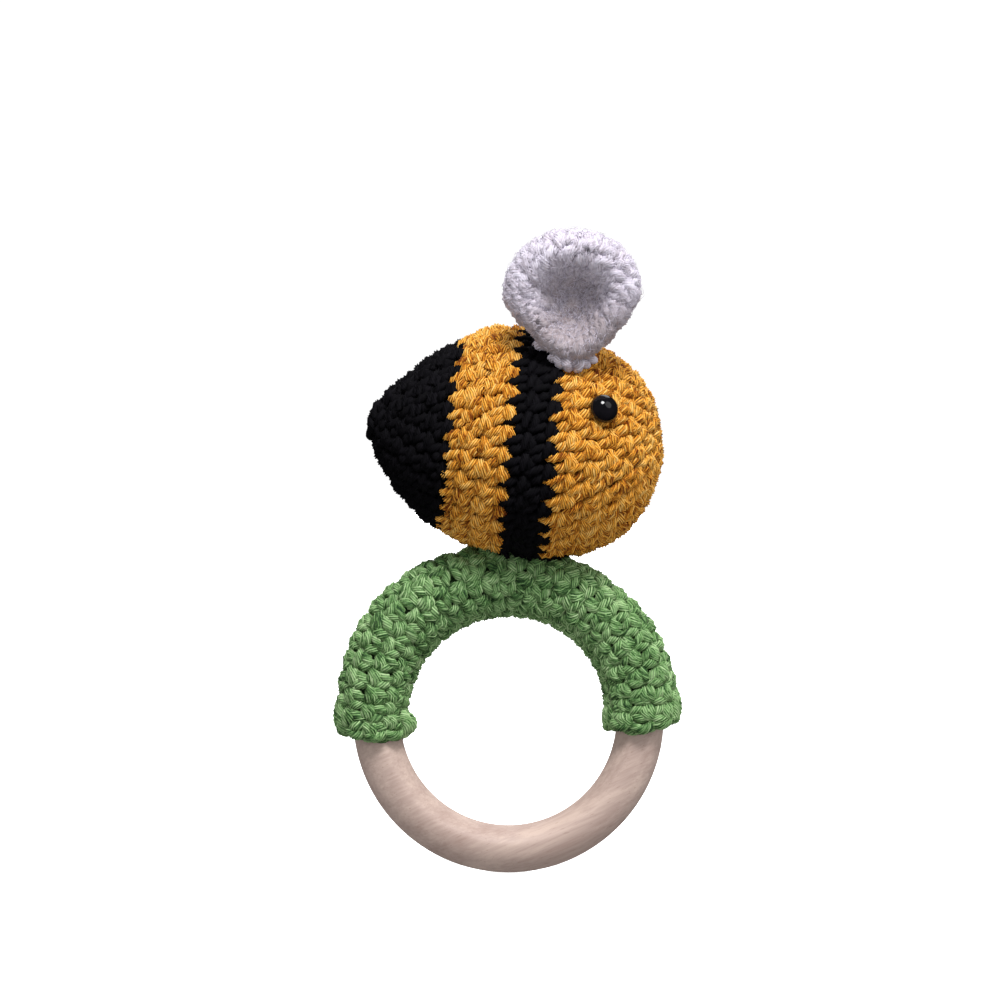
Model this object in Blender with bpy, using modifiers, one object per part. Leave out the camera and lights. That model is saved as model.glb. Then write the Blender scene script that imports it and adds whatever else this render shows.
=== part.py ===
"""Crocheted bee rattle on a wooden teething ring.

Metres, +Z up. The ring stands upright in the XZ plane with the bee on top, facing +X.
The origin is the centre of the wooden ring's section at its lowest point, where a hand
grips it. "Near" pieces are on the bee's -Y side and "far" pieces on its +Y side.
"""

import math

import bmesh
import bpy
from mathutils import Matrix, Vector

MM = 0.001
GAP = 0.3 * MM  # air left between neighbouring solids
ON_AXIS = 0.001 * MM  # a turned outline's points this near the axis count as on it
TURN_MERGE = 0.02 * MM  # points this near the axis are merged into one when turned
WELD = 0.001 * MM
SHARP_EDGE = math.radians(40)

# Wooden ring
RING_OUTER_RADIUS = 35.0 * MM
RING_SECTION_RADIUS = 5.35 * MM
RING_MEAN_RADIUS = RING_OUTER_RADIUS - RING_SECTION_RADIUS
RING_CENTRE = Vector((0.0, 0.0, RING_MEAN_RADIUS))

# Crochet sleeve round the upper half of the ring
SLEEVE_MEAN_RADIUS = 31.0 * MM
SLEEVE_TUBE_RADIUS = 7.7 * MM
SLEEVE_START = math.radians(-3.5)  # from +X, turning towards +Z
SLEEVE_END = math.radians(187.5)

# Body of the bee: a turned egg whose axis dips towards the head
BODY_CENTRE = Vector((2.6 * MM, 0.0, 91.1 * MM))
BODY_DIP = math.radians(5.5)
BODY_RADIUS = 25.6 * MM
BODY_WIDEST = 2.0 * MM  # stations along the body are measured from BODY_CENTRE
HEAD_LENGTH = 30.8 * MM  # from the widest station to the nose
HEAD_POWER = 2.12
TAIL_LENGTH = 36.6 * MM  # from the widest station to where the tail would come to a point
TAIL_BLUNT = 2.2 * MM  # how much of that point the closing ring of stitches cuts off
TAIL_POWER = 0.85
TAIL_INSET = 1.25  # the pointed tail's inner surface stops this much shorter than its inset
TAIL_EASING = 1.3  # sets the outline's points closer together towards the tail
SKIN = 2.6 * MM
STRIPE_STATIONS = (-15.7 * MM, -2.0 * MM, 8.2 * MM)  # where the yarn changes colour
BEE_HINGE_ANGLE = math.radians(84)  # where the bee rocks on the sleeve, from +X towards +Z
PRESS_CLEARANCE = 1.0 * MM  # the soft body is pressed hollow round the sleeve
PRESS_START = 1.5 * SKIN  # depth below the outside at which the filling begins to give
PRESS_FADE = 5.0 * MM  # the filling takes up the pressed hollow over this depth

# Rattle ball inside the body
RATTLE_RADIUS = 13.0 * MM
RATTLE_WALL = 1.2 * MM
RATTLE_STATION = 2.0 * MM
LAP_DEPTH = 1.5 * MM
LIP_SHARE = 0.45  # share of the wall that the rear shell's lip takes
LAP_CLEARANCE = 0.2 * MM
BEAD_RADIUS = 2.1 * MM
BEAD_LANE_RADIUS = 5.0 * MM
BEAD_COUNT = 6

# Wings: shallow cups standing back to back
WING_CENTRE = Vector((14.3 * MM, -22.0 * MM, 124.0 * MM))  # middle of the near wing's mouth
WING_LEAN = math.radians(8.0)  # the wings' tops lean apart
WING_RADIUS = 15.2 * MM
WING_DEPTH = 8.3 * MM
WING_THICKNESS = 2.6 * MM
WING_HINGE = Vector((9.3 * MM, -18.6 * MM, 110.4 * MM))
BRIM_TURNS = (math.radians(126), math.radians(54))  # the two corners that round off the brim
WING_SEWN_FROM = math.radians(-142)  # the sewing yarn runs round the cup between these angles
WING_SEWN_TO = math.radians(-80)
WING_SEWN_GAP = 0.2 * MM

# Safety eyes
EYE_STATION = 17.4 * MM
EYE_RISE = math.radians(23.7)  # above the level plane through the body's axis
EYE_RADIUS = 3.0 * MM
EYE_HEIGHT = 2.6 * MM
STEM_RADIUS = 1.3 * MM
STEM_LENGTH = 9.0 * MM
STEM_POINT = 1.0 * MM  # length of the stem's cone-shaped end
STEM_END_RADIUS = 0.4 * MM
WASHER_RADIUS = 4.5 * MM
WASHER_THICKNESS = 1.2 * MM
WASHER_BORE_PLAY = 0.15 * MM
WASHER_CLEARANCE = 1.0 * MM  # the flat washer's middle stands off the curved skin
CUT_ABOVE = 6.0 * MM  # how far the eye's cutters reach outside the head
CUT_BELOW = -14.0 * MM
SLOPE_STEP = 0.1 * MM  # the head's slope at the eye is measured over this distance

# Sewing yarn and the knot that ends the crochet
YARN_RADIUS = 0.5 * MM
SEAM_RADIUS = 0.3 * MM
SEAM_MARGIN = math.radians(4)  # the seam stops this far short of the sleeve's ends
SEAM_ROLL = math.radians(205)  # inside the ring, a little towards the back
KNOT_RADIUS = 2.0 * MM
KNOT_FLATNESS = 0.6
JOINING_MIDDLE = math.radians(84.4)  # from +X, turning towards +Z
JOINING_HALF_LENGTH = math.radians(21.3)
JOINING_SIDE = math.radians(64)  # how far round the sleeve the joining yarn runs

WOOD = ("beech", (0.58, 0.43, 0.36), 0.6)
GREEN = ("green_yarn", (0.13, 0.35, 0.10), 0.9)
BLACK = ("black_yarn", (0.006, 0.006, 0.009), 0.9)
YELLOW = ("yellow_yarn", (0.70, 0.30, 0.03), 0.9)
WHITE = ("white_yarn", (0.85, 0.83, 0.85), 0.95)
EYE_PLASTIC = ("black_plastic", (0.004, 0.004, 0.004), 0.08)
CLEAR_PLASTIC = ("natural_plastic", (0.75, 0.75, 0.72), 0.4)
FILLING = ("polyester_filling", (0.85, 0.85, 0.84), 1.0)
STEEL = ("steel", (0.55, 0.55, 0.57), 0.25)


def clear_scene():
    for thing in list(bpy.data.objects):
        bpy.data.objects.remove(thing, do_unlink=True)


def new_collection(name):
    collection = bpy.data.collections.new(name)
    bpy.context.scene.collection.children.link(collection)
    return collection


clear_scene()
PARTS = new_collection("bee_rattle")
CUTTERS = new_collection("cutters")
CUTTERS.hide_render = True


# ---------------------------------------------------------------- helpers


def material(finish):
    """The Principled material of one finish, made once."""
    name, colour, roughness = finish
    made = bpy.data.materials.get(name)
    if made:
        return made
    made = bpy.data.materials.new(name)
    made.use_nodes = True
    shader = made.node_tree.nodes["Principled BSDF"]
    shader.inputs["Base Color"].default_value = (*colour, 1.0)
    shader.inputs["Roughness"].default_value = roughness
    shader.inputs["Metallic"].default_value = 1.0 if finish is STEEL else 0.0
    return made


def add_part(name, data, finish, parent, pose=None):
    """A named part in the parts collection; pose is its matrix in the world."""
    part = bpy.data.objects.new(name, data)
    PARTS.objects.link(part)
    data.materials.append(material(finish))
    part.parent = parent
    part.matrix_world = pose or Matrix()
    return part


def add_empty(name, place, parent=None):
    empty = bpy.data.objects.new(name, None)
    PARTS.objects.link(empty)
    empty.parent = parent
    empty.matrix_world = Matrix.Translation(place)
    bpy.context.view_layer.update()
    return empty


def as_cutter(cutter):
    """Moves an object to the cutters and hides it from the model."""
    for collection in list(cutter.users_collection):
        collection.objects.unlink(cutter)
    CUTTERS.objects.link(cutter)
    cutter.hide_render = True
    cutter.display_type = "WIRE"
    return cutter


def cut(part, cutter):
    boolean = part.modifiers.new("cut", "BOOLEAN")
    boolean.operation = "DIFFERENCE"
    boolean.object = cutter


def turned_mesh(name, outline):
    """A mesh of edges for Screw from a closed outline of (radius, height) points.

    The outline is made to run down its outer side, and an edge on the axis is left out.
    """
    area = sum(a[0] * b[1] - b[0] * a[1] for a, b in zip(outline, outline[1:] + outline[:1]))
    points = outline if area < 0 else outline[::-1]
    following = [(i, (i + 1) % len(points)) for i in range(len(points))]
    edges = [pair for pair in following if max(points[i][0] for i in pair) > ON_AXIS]
    mesh = bpy.data.meshes.new(name)
    mesh.from_pydata([(radius, 0.0, height) for radius, height in points], edges, [])
    return mesh


def turn(part, steps):
    """Spins an outline about the part's own Z axis."""
    screw = part.modifiers.new("turn", "SCREW")
    screw.axis = "Z"
    screw.steps = steps
    screw.render_steps = steps
    screw.use_merge_vertices = True
    screw.merge_threshold = TURN_MERGE
    screw.use_smooth_shade = True
    return part


def turned_part(name, outline, steps, finish, parent, pose):
    return turn(add_part(name, turned_mesh(name, outline), finish, parent, pose), steps)


def bake(part):
    """Replaces an object's data by its evaluated mesh, with loose caps welded."""
    bpy.context.view_layer.update()
    evaluated = part.evaluated_get(bpy.context.evaluated_depsgraph_get())
    mesh = bpy.data.meshes.new_from_object(evaluated)
    shape = bmesh.new()
    shape.from_mesh(mesh)
    bmesh.ops.remove_doubles(shape, verts=shape.verts, dist=WELD)
    bmesh.ops.recalc_face_normals(shape, faces=shape.faces)
    shape.to_mesh(mesh)
    shape.free()
    mesh.shade_smooth()
    mesh.set_sharp_from_angle(angle=SHARP_EDGE)
    name = part.name
    baked = bpy.data.objects.new(name + "_mesh", mesh)
    PARTS.objects.link(baked)
    baked.parent = part.parent
    baked.matrix_world = part.matrix_world
    bpy.data.objects.remove(part, do_unlink=True)
    baked.name = name
    return baked


def tube(name, points, radius, sides_setting, finish, parent, cyclic=False):
    """A yarn or pipe along the points, as a curve with a round bevel."""
    curve = bpy.data.curves.new(name, "CURVE")
    curve.dimensions = "3D"
    curve.bevel_depth = radius
    curve.bevel_resolution = sides_setting
    curve.use_fill_caps = True
    spline = curve.splines.new("POLY")
    spline.points.add(len(points) - 1)
    for slot, point in zip(spline.points, points):
        slot.co = (*point, 1.0)
    spline.use_cyclic_u = cyclic
    return add_part(name, curve, finish, parent)


def fractions(count):
    return [i / (count - 1) for i in range(count)]


def arc(radius, start, end, count, centre=0.0):
    """(radius, height) points on a circle about the turning axis, angles from the axis."""
    turns = [start + (end - start) * f for f in fractions(count)]
    return [(radius * math.sin(a), centre + radius * math.cos(a)) for a in turns]


def ring_point(radius, angle):
    """A point in the ring's plane, at an angle from +X towards +Z."""
    return RING_CENTRE + Vector((radius * math.cos(angle), 0.0, radius * math.sin(angle)))


def sleeve_point(angle, roll, radius):
    """A point at a distance from the sleeve's centreline; roll 0 is outward, +90 is -Y."""
    outward = ring_point(SLEEVE_MEAN_RADIUS + radius * math.cos(roll), angle)
    return outward + Vector((0.0, -radius * math.sin(roll), 0.0))


# ---------------------------------------------------------------- body's own frame

# The body's Z axis runs from tail to head and its X axis points down.
BODY_POSE = Matrix.Translation(BODY_CENTRE) @ Matrix.Rotation(math.radians(90) + BODY_DIP, 4, "Y")


def body_radius(station, inset=0.0):
    """The body's radius at a station, for the skin's outside or that far inside it."""
    widest = BODY_RADIUS - inset
    if station > BODY_WIDEST:
        part_way = (station - BODY_WIDEST) / (HEAD_LENGTH - inset)
        return widest * max(0.0, 1.0 - part_way**HEAD_POWER) ** (1.0 / HEAD_POWER)
    part_way = (BODY_WIDEST - station) / (TAIL_LENGTH - TAIL_INSET * inset)
    return widest * max(0.0, 1.0 - part_way**2) ** TAIL_POWER


def nose(inset):
    return BODY_WIDEST + HEAD_LENGTH - inset


def tail_tip(inset):
    return BODY_WIDEST - TAIL_LENGTH + TAIL_INSET * inset


def blunt_tail():
    return tail_tip(0) + TAIL_BLUNT


def body_outline(start, end, count, inset=0.0):
    """(radius, station) points from start to end, closer together at a rounded end."""
    points = []
    for f in fractions(count):
        if end >= nose(inset):
            eased = math.sin(f * math.pi / 2)
        elif start <= tail_tip(inset):
            eased = f**TAIL_EASING
        else:
            eased = f
        station = start + (end - start) * eased
        points.append((body_radius(station, inset), station))
    return points


def press_onto_sleeve(part):
    """Pushes a body piece's points out of the sleeve.

    The skin keeps its thickness, and the push fades out through the filling.
    """
    bpy.context.view_layer.update()
    to_world = part.matrix_world
    to_part = to_world.inverted()
    to_body = BODY_POSE.inverted()
    for vertex in part.data.vertices:
        place = to_world @ vertex.co
        in_body = to_body @ place
        depth = body_radius(in_body.z) - math.hypot(in_body.x, in_body.y)
        keep = SLEEVE_TUBE_RADIUS + PRESS_CLEARANCE + max(0.0, depth)
        angle = math.atan2(place.z - RING_CENTRE.z, place.x)
        nearest = ring_point(SLEEVE_MEAN_RADIUS, angle)
        away = place - nearest
        fade = min(1.0, max(0.0, 1.0 - (depth - PRESS_START) / PRESS_FADE))
        if away.length < keep:
            pushed = nearest + away.normalized() * keep
            vertex.co = to_part @ place.lerp(pushed, fade)


# ---------------------------------------------------------------- ring and sleeve


def make_ring(parent):
    section_points = 16
    outline = [
        (
            RING_MEAN_RADIUS + RING_SECTION_RADIUS * math.cos(-math.tau * i / section_points),
            RING_SECTION_RADIUS * math.sin(-math.tau * i / section_points),
        )
        for i in range(section_points)
    ]
    pose = Matrix.Translation(RING_CENTRE) @ Matrix.Rotation(math.radians(90), 4, "X")
    turned_part("wooden_ring", outline, 60, WOOD, parent, pose)


def make_sleeve(parent):
    angles = [SLEEVE_START + (SLEEVE_END - SLEEVE_START) * f for f in fractions(37)]
    route = [ring_point(SLEEVE_MEAN_RADIUS, angle) for angle in angles]
    sleeve = bake(tube("ring_sleeve", route, SLEEVE_TUBE_RADIUS, 3, GREEN, parent))
    bpy.ops.mesh.primitive_torus_add(
        major_radius=RING_MEAN_RADIUS,
        minor_radius=RING_SECTION_RADIUS + GAP,
        major_segments=60,
        minor_segments=14,
        location=RING_CENTRE,
        rotation=(math.radians(90), 0.0, 0.0),
    )
    passage = bpy.context.object
    passage.name = "sleeve_passage"
    cut(sleeve, as_cutter(passage))


def make_sleeve_seam(parent):
    """The yarn that closes the sleeve, along the inside of the ring towards the back."""
    start = SLEEVE_START + SEAM_MARGIN
    span = SLEEVE_END - SEAM_MARGIN - start
    reach = SLEEVE_TUBE_RADIUS + GAP + SEAM_RADIUS
    route = [sleeve_point(start + span * f, SEAM_ROLL, reach) for f in fractions(37)]
    tube("sleeve_seam_yarn", route, SEAM_RADIUS, 1, GREEN, parent)


def make_joining_yarn(parent):
    """The sewing round that holds the bee on the sleeve, lying in the groove round the patch."""
    reach = SLEEVE_TUBE_RADIUS + GAP + YARN_RADIUS
    route = []
    for i in range(36):
        way = math.tau * i / 36
        angle = JOINING_MIDDLE - JOINING_HALF_LENGTH * math.cos(way)
        route.append(sleeve_point(angle, JOINING_SIDE * math.sin(way), reach))
    tube("joining_yarn", route, YARN_RADIUS, 1, BLACK, parent, cyclic=True)


# ---------------------------------------------------------------- body of the bee


def make_skin(name, start, end, count, finish, parent):
    """One colour of the crochet skin: a turned shell pressed on the sleeve."""
    outside = body_outline(start, end, count)
    if start == blunt_tail():
        outside = [(0.0, start)] + outside
    inner_start = max(start, tail_tip(SKIN))
    inner_end = min(end, nose(SKIN))
    inside = body_outline(inner_start, inner_end, count, SKIN)
    skin = turned_part(name, outside + inside[::-1], 36, finish, parent, BODY_POSE)
    skin = bake(skin)
    press_onto_sleeve(skin)
    return skin


def make_skins(parent):
    half = GAP / 2
    tail_end, rear_end, middle_end = STRIPE_STATIONS
    make_skin("tail_cone", blunt_tail(), tail_end - half, 8, BLACK, parent)
    make_skin("rear_stripe", tail_end + half, rear_end - half, 5, YELLOW, parent)
    make_skin("middle_stripe", rear_end + half, middle_end - half, 5, BLACK, parent)
    return make_skin("head_cap", middle_end + half, nose(0), 8, YELLOW, parent)


def make_tail_knot(parent):
    """The fastened-off end of the yarn, a small flat knot on the blunt tail."""
    place = blunt_tail() - GAP - KNOT_FLATNESS * KNOT_RADIUS
    outline = [(r, KNOT_FLATNESS * h) for r, h in arc(KNOT_RADIUS, 0.0, math.pi, 7)]
    pose = BODY_POSE @ Matrix.Translation((0.0, 0.0, place))
    turned_part("tail_knot", outline, 12, BLACK, parent, pose)


def make_stuffing(parent):
    """Two cups of filling that meet round the rattle ball. Returns the front one."""
    inset = SKIN + 2 * GAP
    cavity = RATTLE_RADIUS + GAP
    half = GAP / 2
    seam_turn = math.acos(half / cavity)
    rear = body_outline(tail_tip(inset), RATTLE_STATION - half, 9, inset)
    rear += arc(cavity, math.pi - seam_turn, math.pi, 6, RATTLE_STATION)
    front = body_outline(RATTLE_STATION + half, nose(inset), 9, inset)
    front = arc(cavity, 0.0, seam_turn, 6, RATTLE_STATION) + front
    cups = []
    for name, outline in (("stuffing_rear", rear), ("stuffing_front", front)):
        cup = bake(turned_part(name, outline, 28, FILLING, parent, BODY_POSE))
        press_onto_sleeve(cup)
        cups.append(cup)
    return cups[1]


# ---------------------------------------------------------------- rattle ball


def make_rattle(parent):
    """Two snap-together half shells. The rear one has the lip, the front one the rebate."""
    inner = RATTLE_RADIUS - RATTLE_WALL
    lip = inner + LIP_SHARE * RATTLE_WALL
    rebate = lip + LAP_CLEARANCE
    quarter = math.pi / 2
    half = GAP / 2
    rear = arc(inner, math.pi, quarter, 8)
    rear[-1] = (inner, LAP_DEPTH)
    rear += [(lip, LAP_DEPTH), (lip, -half)]
    rear += arc(RATTLE_RADIUS, quarter + half / RATTLE_RADIUS, math.pi, 8)
    mouth = math.acos((LAP_DEPTH + GAP) / inner)
    front = arc(RATTLE_RADIUS, 0.0, quarter - half / RATTLE_RADIUS, 8)
    front += [(rebate, half), (rebate, LAP_DEPTH + GAP)]
    front += arc(inner, mouth, 0.0, 8)
    pose = BODY_POSE @ Matrix.Translation((0.0, 0.0, RATTLE_STATION))
    turned_part("rattle_shell_rear", rear, 24, CLEAR_PLASTIC, parent, pose)
    turned_part("rattle_shell_front", front, 24, CLEAR_PLASTIC, parent, pose)
    return pose.translation


def make_beads(parent, centre):
    """Loose beads at the bottom of the ball: one in the middle and a ring round it."""
    reach = RATTLE_RADIUS - RATTLE_WALL - BEAD_RADIUS - 2 * GAP
    lanes = [Vector((0.0, 0.0, 0.0))]
    for i in range(BEAD_COUNT - 1):
        angle = math.tau * (i + 0.5) / (BEAD_COUNT - 1)
        lanes.append(BEAD_LANE_RADIUS * Vector((math.cos(angle), math.sin(angle), 0.0)))
    outline = arc(BEAD_RADIUS, 0.0, math.pi, 8)
    for number, lane in enumerate(lanes, 1):
        drop = math.sqrt(reach**2 - lane.length_squared)
        place = centre + lane - Vector((0.0, 0.0, drop))
        pose = Matrix.Translation(place)
        turned_part(f"rattle_bead_{number}", outline, 12, STEEL, parent, pose)


# ---------------------------------------------------------------- eyes


def eye_pose(side):
    """Frame on the head's surface with Z pointing out; side is -1 near and +1 far."""
    radius = body_radius(EYE_STATION)
    rise = body_radius(EYE_STATION + SLOPE_STEP) - body_radius(EYE_STATION - SLOPE_STEP)
    slope = rise / (2 * SLOPE_STEP)
    spoke = Vector((-math.sin(EYE_RISE), side * math.cos(EYE_RISE), 0.0))
    out = (spoke - Vector((0.0, 0.0, slope))).normalized()
    place = spoke * radius + Vector((0.0, 0.0, EYE_STATION))
    turn_out = Vector((0.0, 0.0, 1.0)).rotation_difference(out).to_matrix().to_4x4()
    return BODY_POSE @ Matrix.Translation(place) @ turn_out


def cutter_cylinder(name, radius, low, high, pose):
    mesh = turned_mesh(name, [(0.0, high), (radius, high), (radius, low), (0.0, low)])
    cutter = bpy.data.objects.new(name, mesh)
    CUTTERS.objects.link(cutter)
    cutter.matrix_world = pose
    return bake_cutter(turn(cutter, 16))


def bake_cutter(cutter):
    return as_cutter(bake(cutter))


def make_eye(word, side, head, filling, parent):
    pose = eye_pose(side)
    dome_turn = math.pi / 2
    lift = GAP
    dome = [(r, lift + h * EYE_HEIGHT / EYE_RADIUS) for r, h in arc(EYE_RADIUS, 0.0, dome_turn, 7)]
    cone = [(STEM_RADIUS, STEM_POINT - STEM_LENGTH), (STEM_END_RADIUS, -STEM_LENGTH)]
    outline = dome + [(STEM_RADIUS, lift)] + cone + [(0.0, -STEM_LENGTH)]
    turned_part(f"{word}_eye", outline, 20, EYE_PLASTIC, parent, pose)

    top = -SKIN - WASHER_CLEARANCE
    bottom = top - WASHER_THICKNESS
    bore = STEM_RADIUS + WASHER_BORE_PLAY
    washer = [(WASHER_RADIUS, top), (WASHER_RADIUS, bottom), (bore, bottom), (bore, top)]
    turned_part(f"{word}_eye_washer", washer, 20, CLEAR_PLASTIC, parent, pose)

    hole = cutter_cylinder(f"{word}_stem_hole", STEM_RADIUS + GAP, CUT_BELOW, CUT_ABOVE, pose)
    room = WASHER_RADIUS + GAP
    pocket = cutter_cylinder(f"{word}_washer_pocket", room, bottom - GAP, CUT_ABOVE, pose)
    cut(head, hole)
    cut(filling, pocket)
    cut(filling, hole)


# ---------------------------------------------------------------- wings


def wing_centre(side):
    return Vector((WING_CENTRE.x, -side * WING_CENTRE.y, WING_CENTRE.z))


def make_wing(word, side, parent):
    """A crochet cup with its hollow facing away from the body."""
    rim = WING_THICKNESS / 2
    inner = WING_RADIUS - WING_THICKNESS
    quarter = math.pi / 2
    back = [(r, h * WING_DEPTH / WING_RADIUS) for r, h in arc(WING_RADIUS, quarter, math.pi, 7)]
    hollow_depth = WING_DEPTH - WING_THICKNESS
    hollow = [(r, h * hollow_depth / inner) for r, h in arc(inner, math.pi, quarter, 7)]
    brim = [(inner + rim + rim * math.cos(a), rim * math.sin(a)) for a in BRIM_TURNS]
    pose = Matrix.Translation(wing_centre(side))
    pose @= Matrix.Rotation(-side * (quarter + WING_LEAN), 4, "X")
    turned_part(f"{word}_wing", back[::-1] + brim[::-1] + hollow[::-1], 28, WHITE, parent, pose)


def make_wing_stitches(word, side, parent):
    """The yarn along the lower edge of a wing, lying on the body just under it."""
    centre = wing_centre(side)
    route = []
    for f in fractions(14):
        angle = WING_SEWN_FROM + (WING_SEWN_TO - WING_SEWN_FROM) * f
        reach = WING_RADIUS + GAP + YARN_RADIUS + WING_SEWN_GAP
        place = centre + reach * Vector((math.cos(angle), 0.0, math.sin(angle)))
        in_body = BODY_POSE.inverted() @ place
        surface = body_radius(in_body.z) + GAP + YARN_RADIUS
        in_body.y = side * math.sqrt(surface**2 - in_body.x**2)
        route.append(BODY_POSE @ in_body)
    tube(f"{word}_wing_stitches", route, YARN_RADIUS, 1, WHITE, parent)


# ---------------------------------------------------------------- assembly


def build():
    sleeve_axis = add_empty("sleeve_turn_axis", RING_CENTRE)
    hinge = ring_point(SLEEVE_MEAN_RADIUS, BEE_HINGE_ANGLE)
    bee_axis = add_empty("bee_rock_axis", hinge, sleeve_axis)

    make_ring(None)
    make_sleeve(sleeve_axis)
    make_sleeve_seam(sleeve_axis)
    make_joining_yarn(sleeve_axis)

    head = make_skins(bee_axis)
    make_tail_knot(bee_axis)
    filling = make_stuffing(bee_axis)
    centre = make_rattle(bee_axis)
    make_beads(bee_axis, centre)

    for word, side in (("near", -1), ("far", 1)):
        make_eye(word, side, head, filling, bee_axis)
        hinge = Vector((WING_HINGE.x, -side * WING_HINGE.y, WING_HINGE.z))
        wing_axis = add_empty(f"{word}_wing_hinge", hinge, bee_axis)
        make_wing(word, side, wing_axis)
        make_wing_stitches(word, side, bee_axis)


build()
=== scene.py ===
"""Looks of the crocheted bee rattle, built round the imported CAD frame.

Metres, +Z up, in the frame's own coordinates: the wooden ring stands in the XZ plane, the
bee sits on top of it facing +X, and "near" means its -Y side. The crochet is modelled
stitch by stitch: each stitch is two legs of plied yarn that start in the row before and
spread apart, and two loops that lie over their ends and close the row.
"""

import math

import bpy
import numpy as np
from mathutils import Matrix, Vector


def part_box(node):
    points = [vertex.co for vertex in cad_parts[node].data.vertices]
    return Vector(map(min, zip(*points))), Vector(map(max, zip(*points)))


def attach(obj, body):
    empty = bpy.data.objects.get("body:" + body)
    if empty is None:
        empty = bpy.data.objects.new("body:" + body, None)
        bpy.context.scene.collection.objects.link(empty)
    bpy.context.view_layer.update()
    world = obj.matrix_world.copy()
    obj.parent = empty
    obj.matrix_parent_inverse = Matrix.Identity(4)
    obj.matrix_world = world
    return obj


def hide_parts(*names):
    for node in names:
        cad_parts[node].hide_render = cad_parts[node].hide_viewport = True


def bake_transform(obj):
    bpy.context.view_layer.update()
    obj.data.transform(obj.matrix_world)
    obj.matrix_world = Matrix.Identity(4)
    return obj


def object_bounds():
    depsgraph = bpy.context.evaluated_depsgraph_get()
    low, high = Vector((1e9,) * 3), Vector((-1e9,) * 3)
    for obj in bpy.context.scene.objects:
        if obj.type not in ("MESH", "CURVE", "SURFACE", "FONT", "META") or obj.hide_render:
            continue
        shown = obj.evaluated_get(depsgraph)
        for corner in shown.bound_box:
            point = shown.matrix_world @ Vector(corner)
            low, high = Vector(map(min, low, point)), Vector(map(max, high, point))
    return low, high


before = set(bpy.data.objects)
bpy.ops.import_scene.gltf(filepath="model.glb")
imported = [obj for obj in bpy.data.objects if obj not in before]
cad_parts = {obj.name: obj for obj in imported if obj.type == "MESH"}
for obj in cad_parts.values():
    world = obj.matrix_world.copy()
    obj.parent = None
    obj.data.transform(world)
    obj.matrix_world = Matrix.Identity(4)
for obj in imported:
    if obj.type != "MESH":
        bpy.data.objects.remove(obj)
CAD_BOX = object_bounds()

MM = 0.001
TAU = math.tau

# ---------------------------------------------------------------- sizes from the frame


def middle_of(node):
    low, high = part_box(node)
    return (low + high) / 2


def half_size(node):
    low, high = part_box(node)
    return (high - low) / 2


RING_CENTRE = middle_of("wooden_ring")
RING_SECTION_RADIUS = half_size("wooden_ring").y
RING_MEAN_RADIUS = half_size("wooden_ring").x - RING_SECTION_RADIUS
SLEEVE_TUBE_RADIUS = half_size("ring_sleeve").y
SLEEVE_MEAN_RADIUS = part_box("ring_sleeve")[1].z - RING_CENTRE.z - SLEEVE_TUBE_RADIUS
FLOOR_HEIGHT = CAD_BOX[0].z

# The sleeve runs round the ring between these angles, from +X turning towards +Z.
SLEEVE_START = math.radians(-3.5)
SLEEVE_END = math.radians(187.5)

# The body is a turned egg, as in the CAD: stations run along its axis from tail to head.
BODY_CENTRE = Vector((2.6 * MM, 0.0, 91.1 * MM))
BODY_DIP = math.radians(5.5)
BODY_RADIUS = 25.6 * MM
BODY_WIDEST = 2.0 * MM
HEAD_LENGTH = 30.8 * MM
HEAD_POWER = 2.12
TAIL_LENGTH = 36.6 * MM
TAIL_BLUNT = 2.2 * MM
TAIL_POWER = 0.85
STRIPE_STATIONS = (-15.7 * MM, -2.0 * MM, 8.2 * MM)
BODY_POSE = Matrix.Translation(BODY_CENTRE) @ Matrix.Rotation(math.radians(90) + BODY_DIP, 4, "Y")
TAIL_END = BODY_WIDEST - TAIL_LENGTH + TAIL_BLUNT
NOSE = BODY_WIDEST + HEAD_LENGTH

# Eyes and wings, as in the CAD
EYE_STATION = 17.4 * MM
EYE_RISE = math.radians(23.7)
EYE_RADIUS = 3.0 * MM
EYE_HEIGHT = 2.6 * MM
STEM_RADIUS = 1.3 * MM
STEM_LENGTH = 9.0 * MM
WING_CENTRE = Vector((14.3 * MM, -22.0 * MM, 124.0 * MM))
WING_LEAN = math.radians(8.0)
WING_RADIUS = 15.2 * MM

# Yarn and stitches
YARN_RADIUS = 1.12 * MM
PLIES = 10
PLY_LEAD = 6.0 * MM  # length over which the plies turn once round the yarn
STITCH_PITCH = 4.9 * MM
ROUND_SHIFT = 0.33  # each round's stitches start this share of a stitch after the last's
SKIN_RISE = 0.7 * MM  # how far the stitches stand proud of the CAD skin

rng = np.random.default_rng(7)
SIDES = (("near", -1), ("far", 1))


# ---------------------------------------------------------------- arrays and meshes


def add_object(name, data):
    made = bpy.data.objects.new(name, data)
    bpy.context.scene.collection.objects.link(made)
    return made


def unit(vectors):
    return vectors / np.maximum(np.linalg.norm(vectors, axis=-1, keepdims=True), 1e-12)


def in_world(pose, points):
    """Points moved by a pose, such as from the body's own coordinates into the frame's."""
    matrix = np.array(pose)
    return points @ matrix[:3, :3].T + matrix[:3, 3]


def turned_by(pose, vectors):
    return vectors @ np.array(pose)[:3, :3].T


def bulge(place, middle, spread):
    """1 in the middle, and less the further from it; almost nothing past two spreads."""
    return np.exp(-(((place - middle) / spread) ** 2))


def arc_lengths(x, y):
    """How far along a polyline each of its points is."""
    return np.concatenate([[0.0], np.cumsum(np.hypot(np.diff(x), np.diff(y)))])


def grid_round(along, columns):
    """Every place of along, at even angles all the way round, as two (row, column) arrays."""
    return np.meshgrid(along, TAU * np.arange(columns) / columns, indexing="ij")


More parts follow.
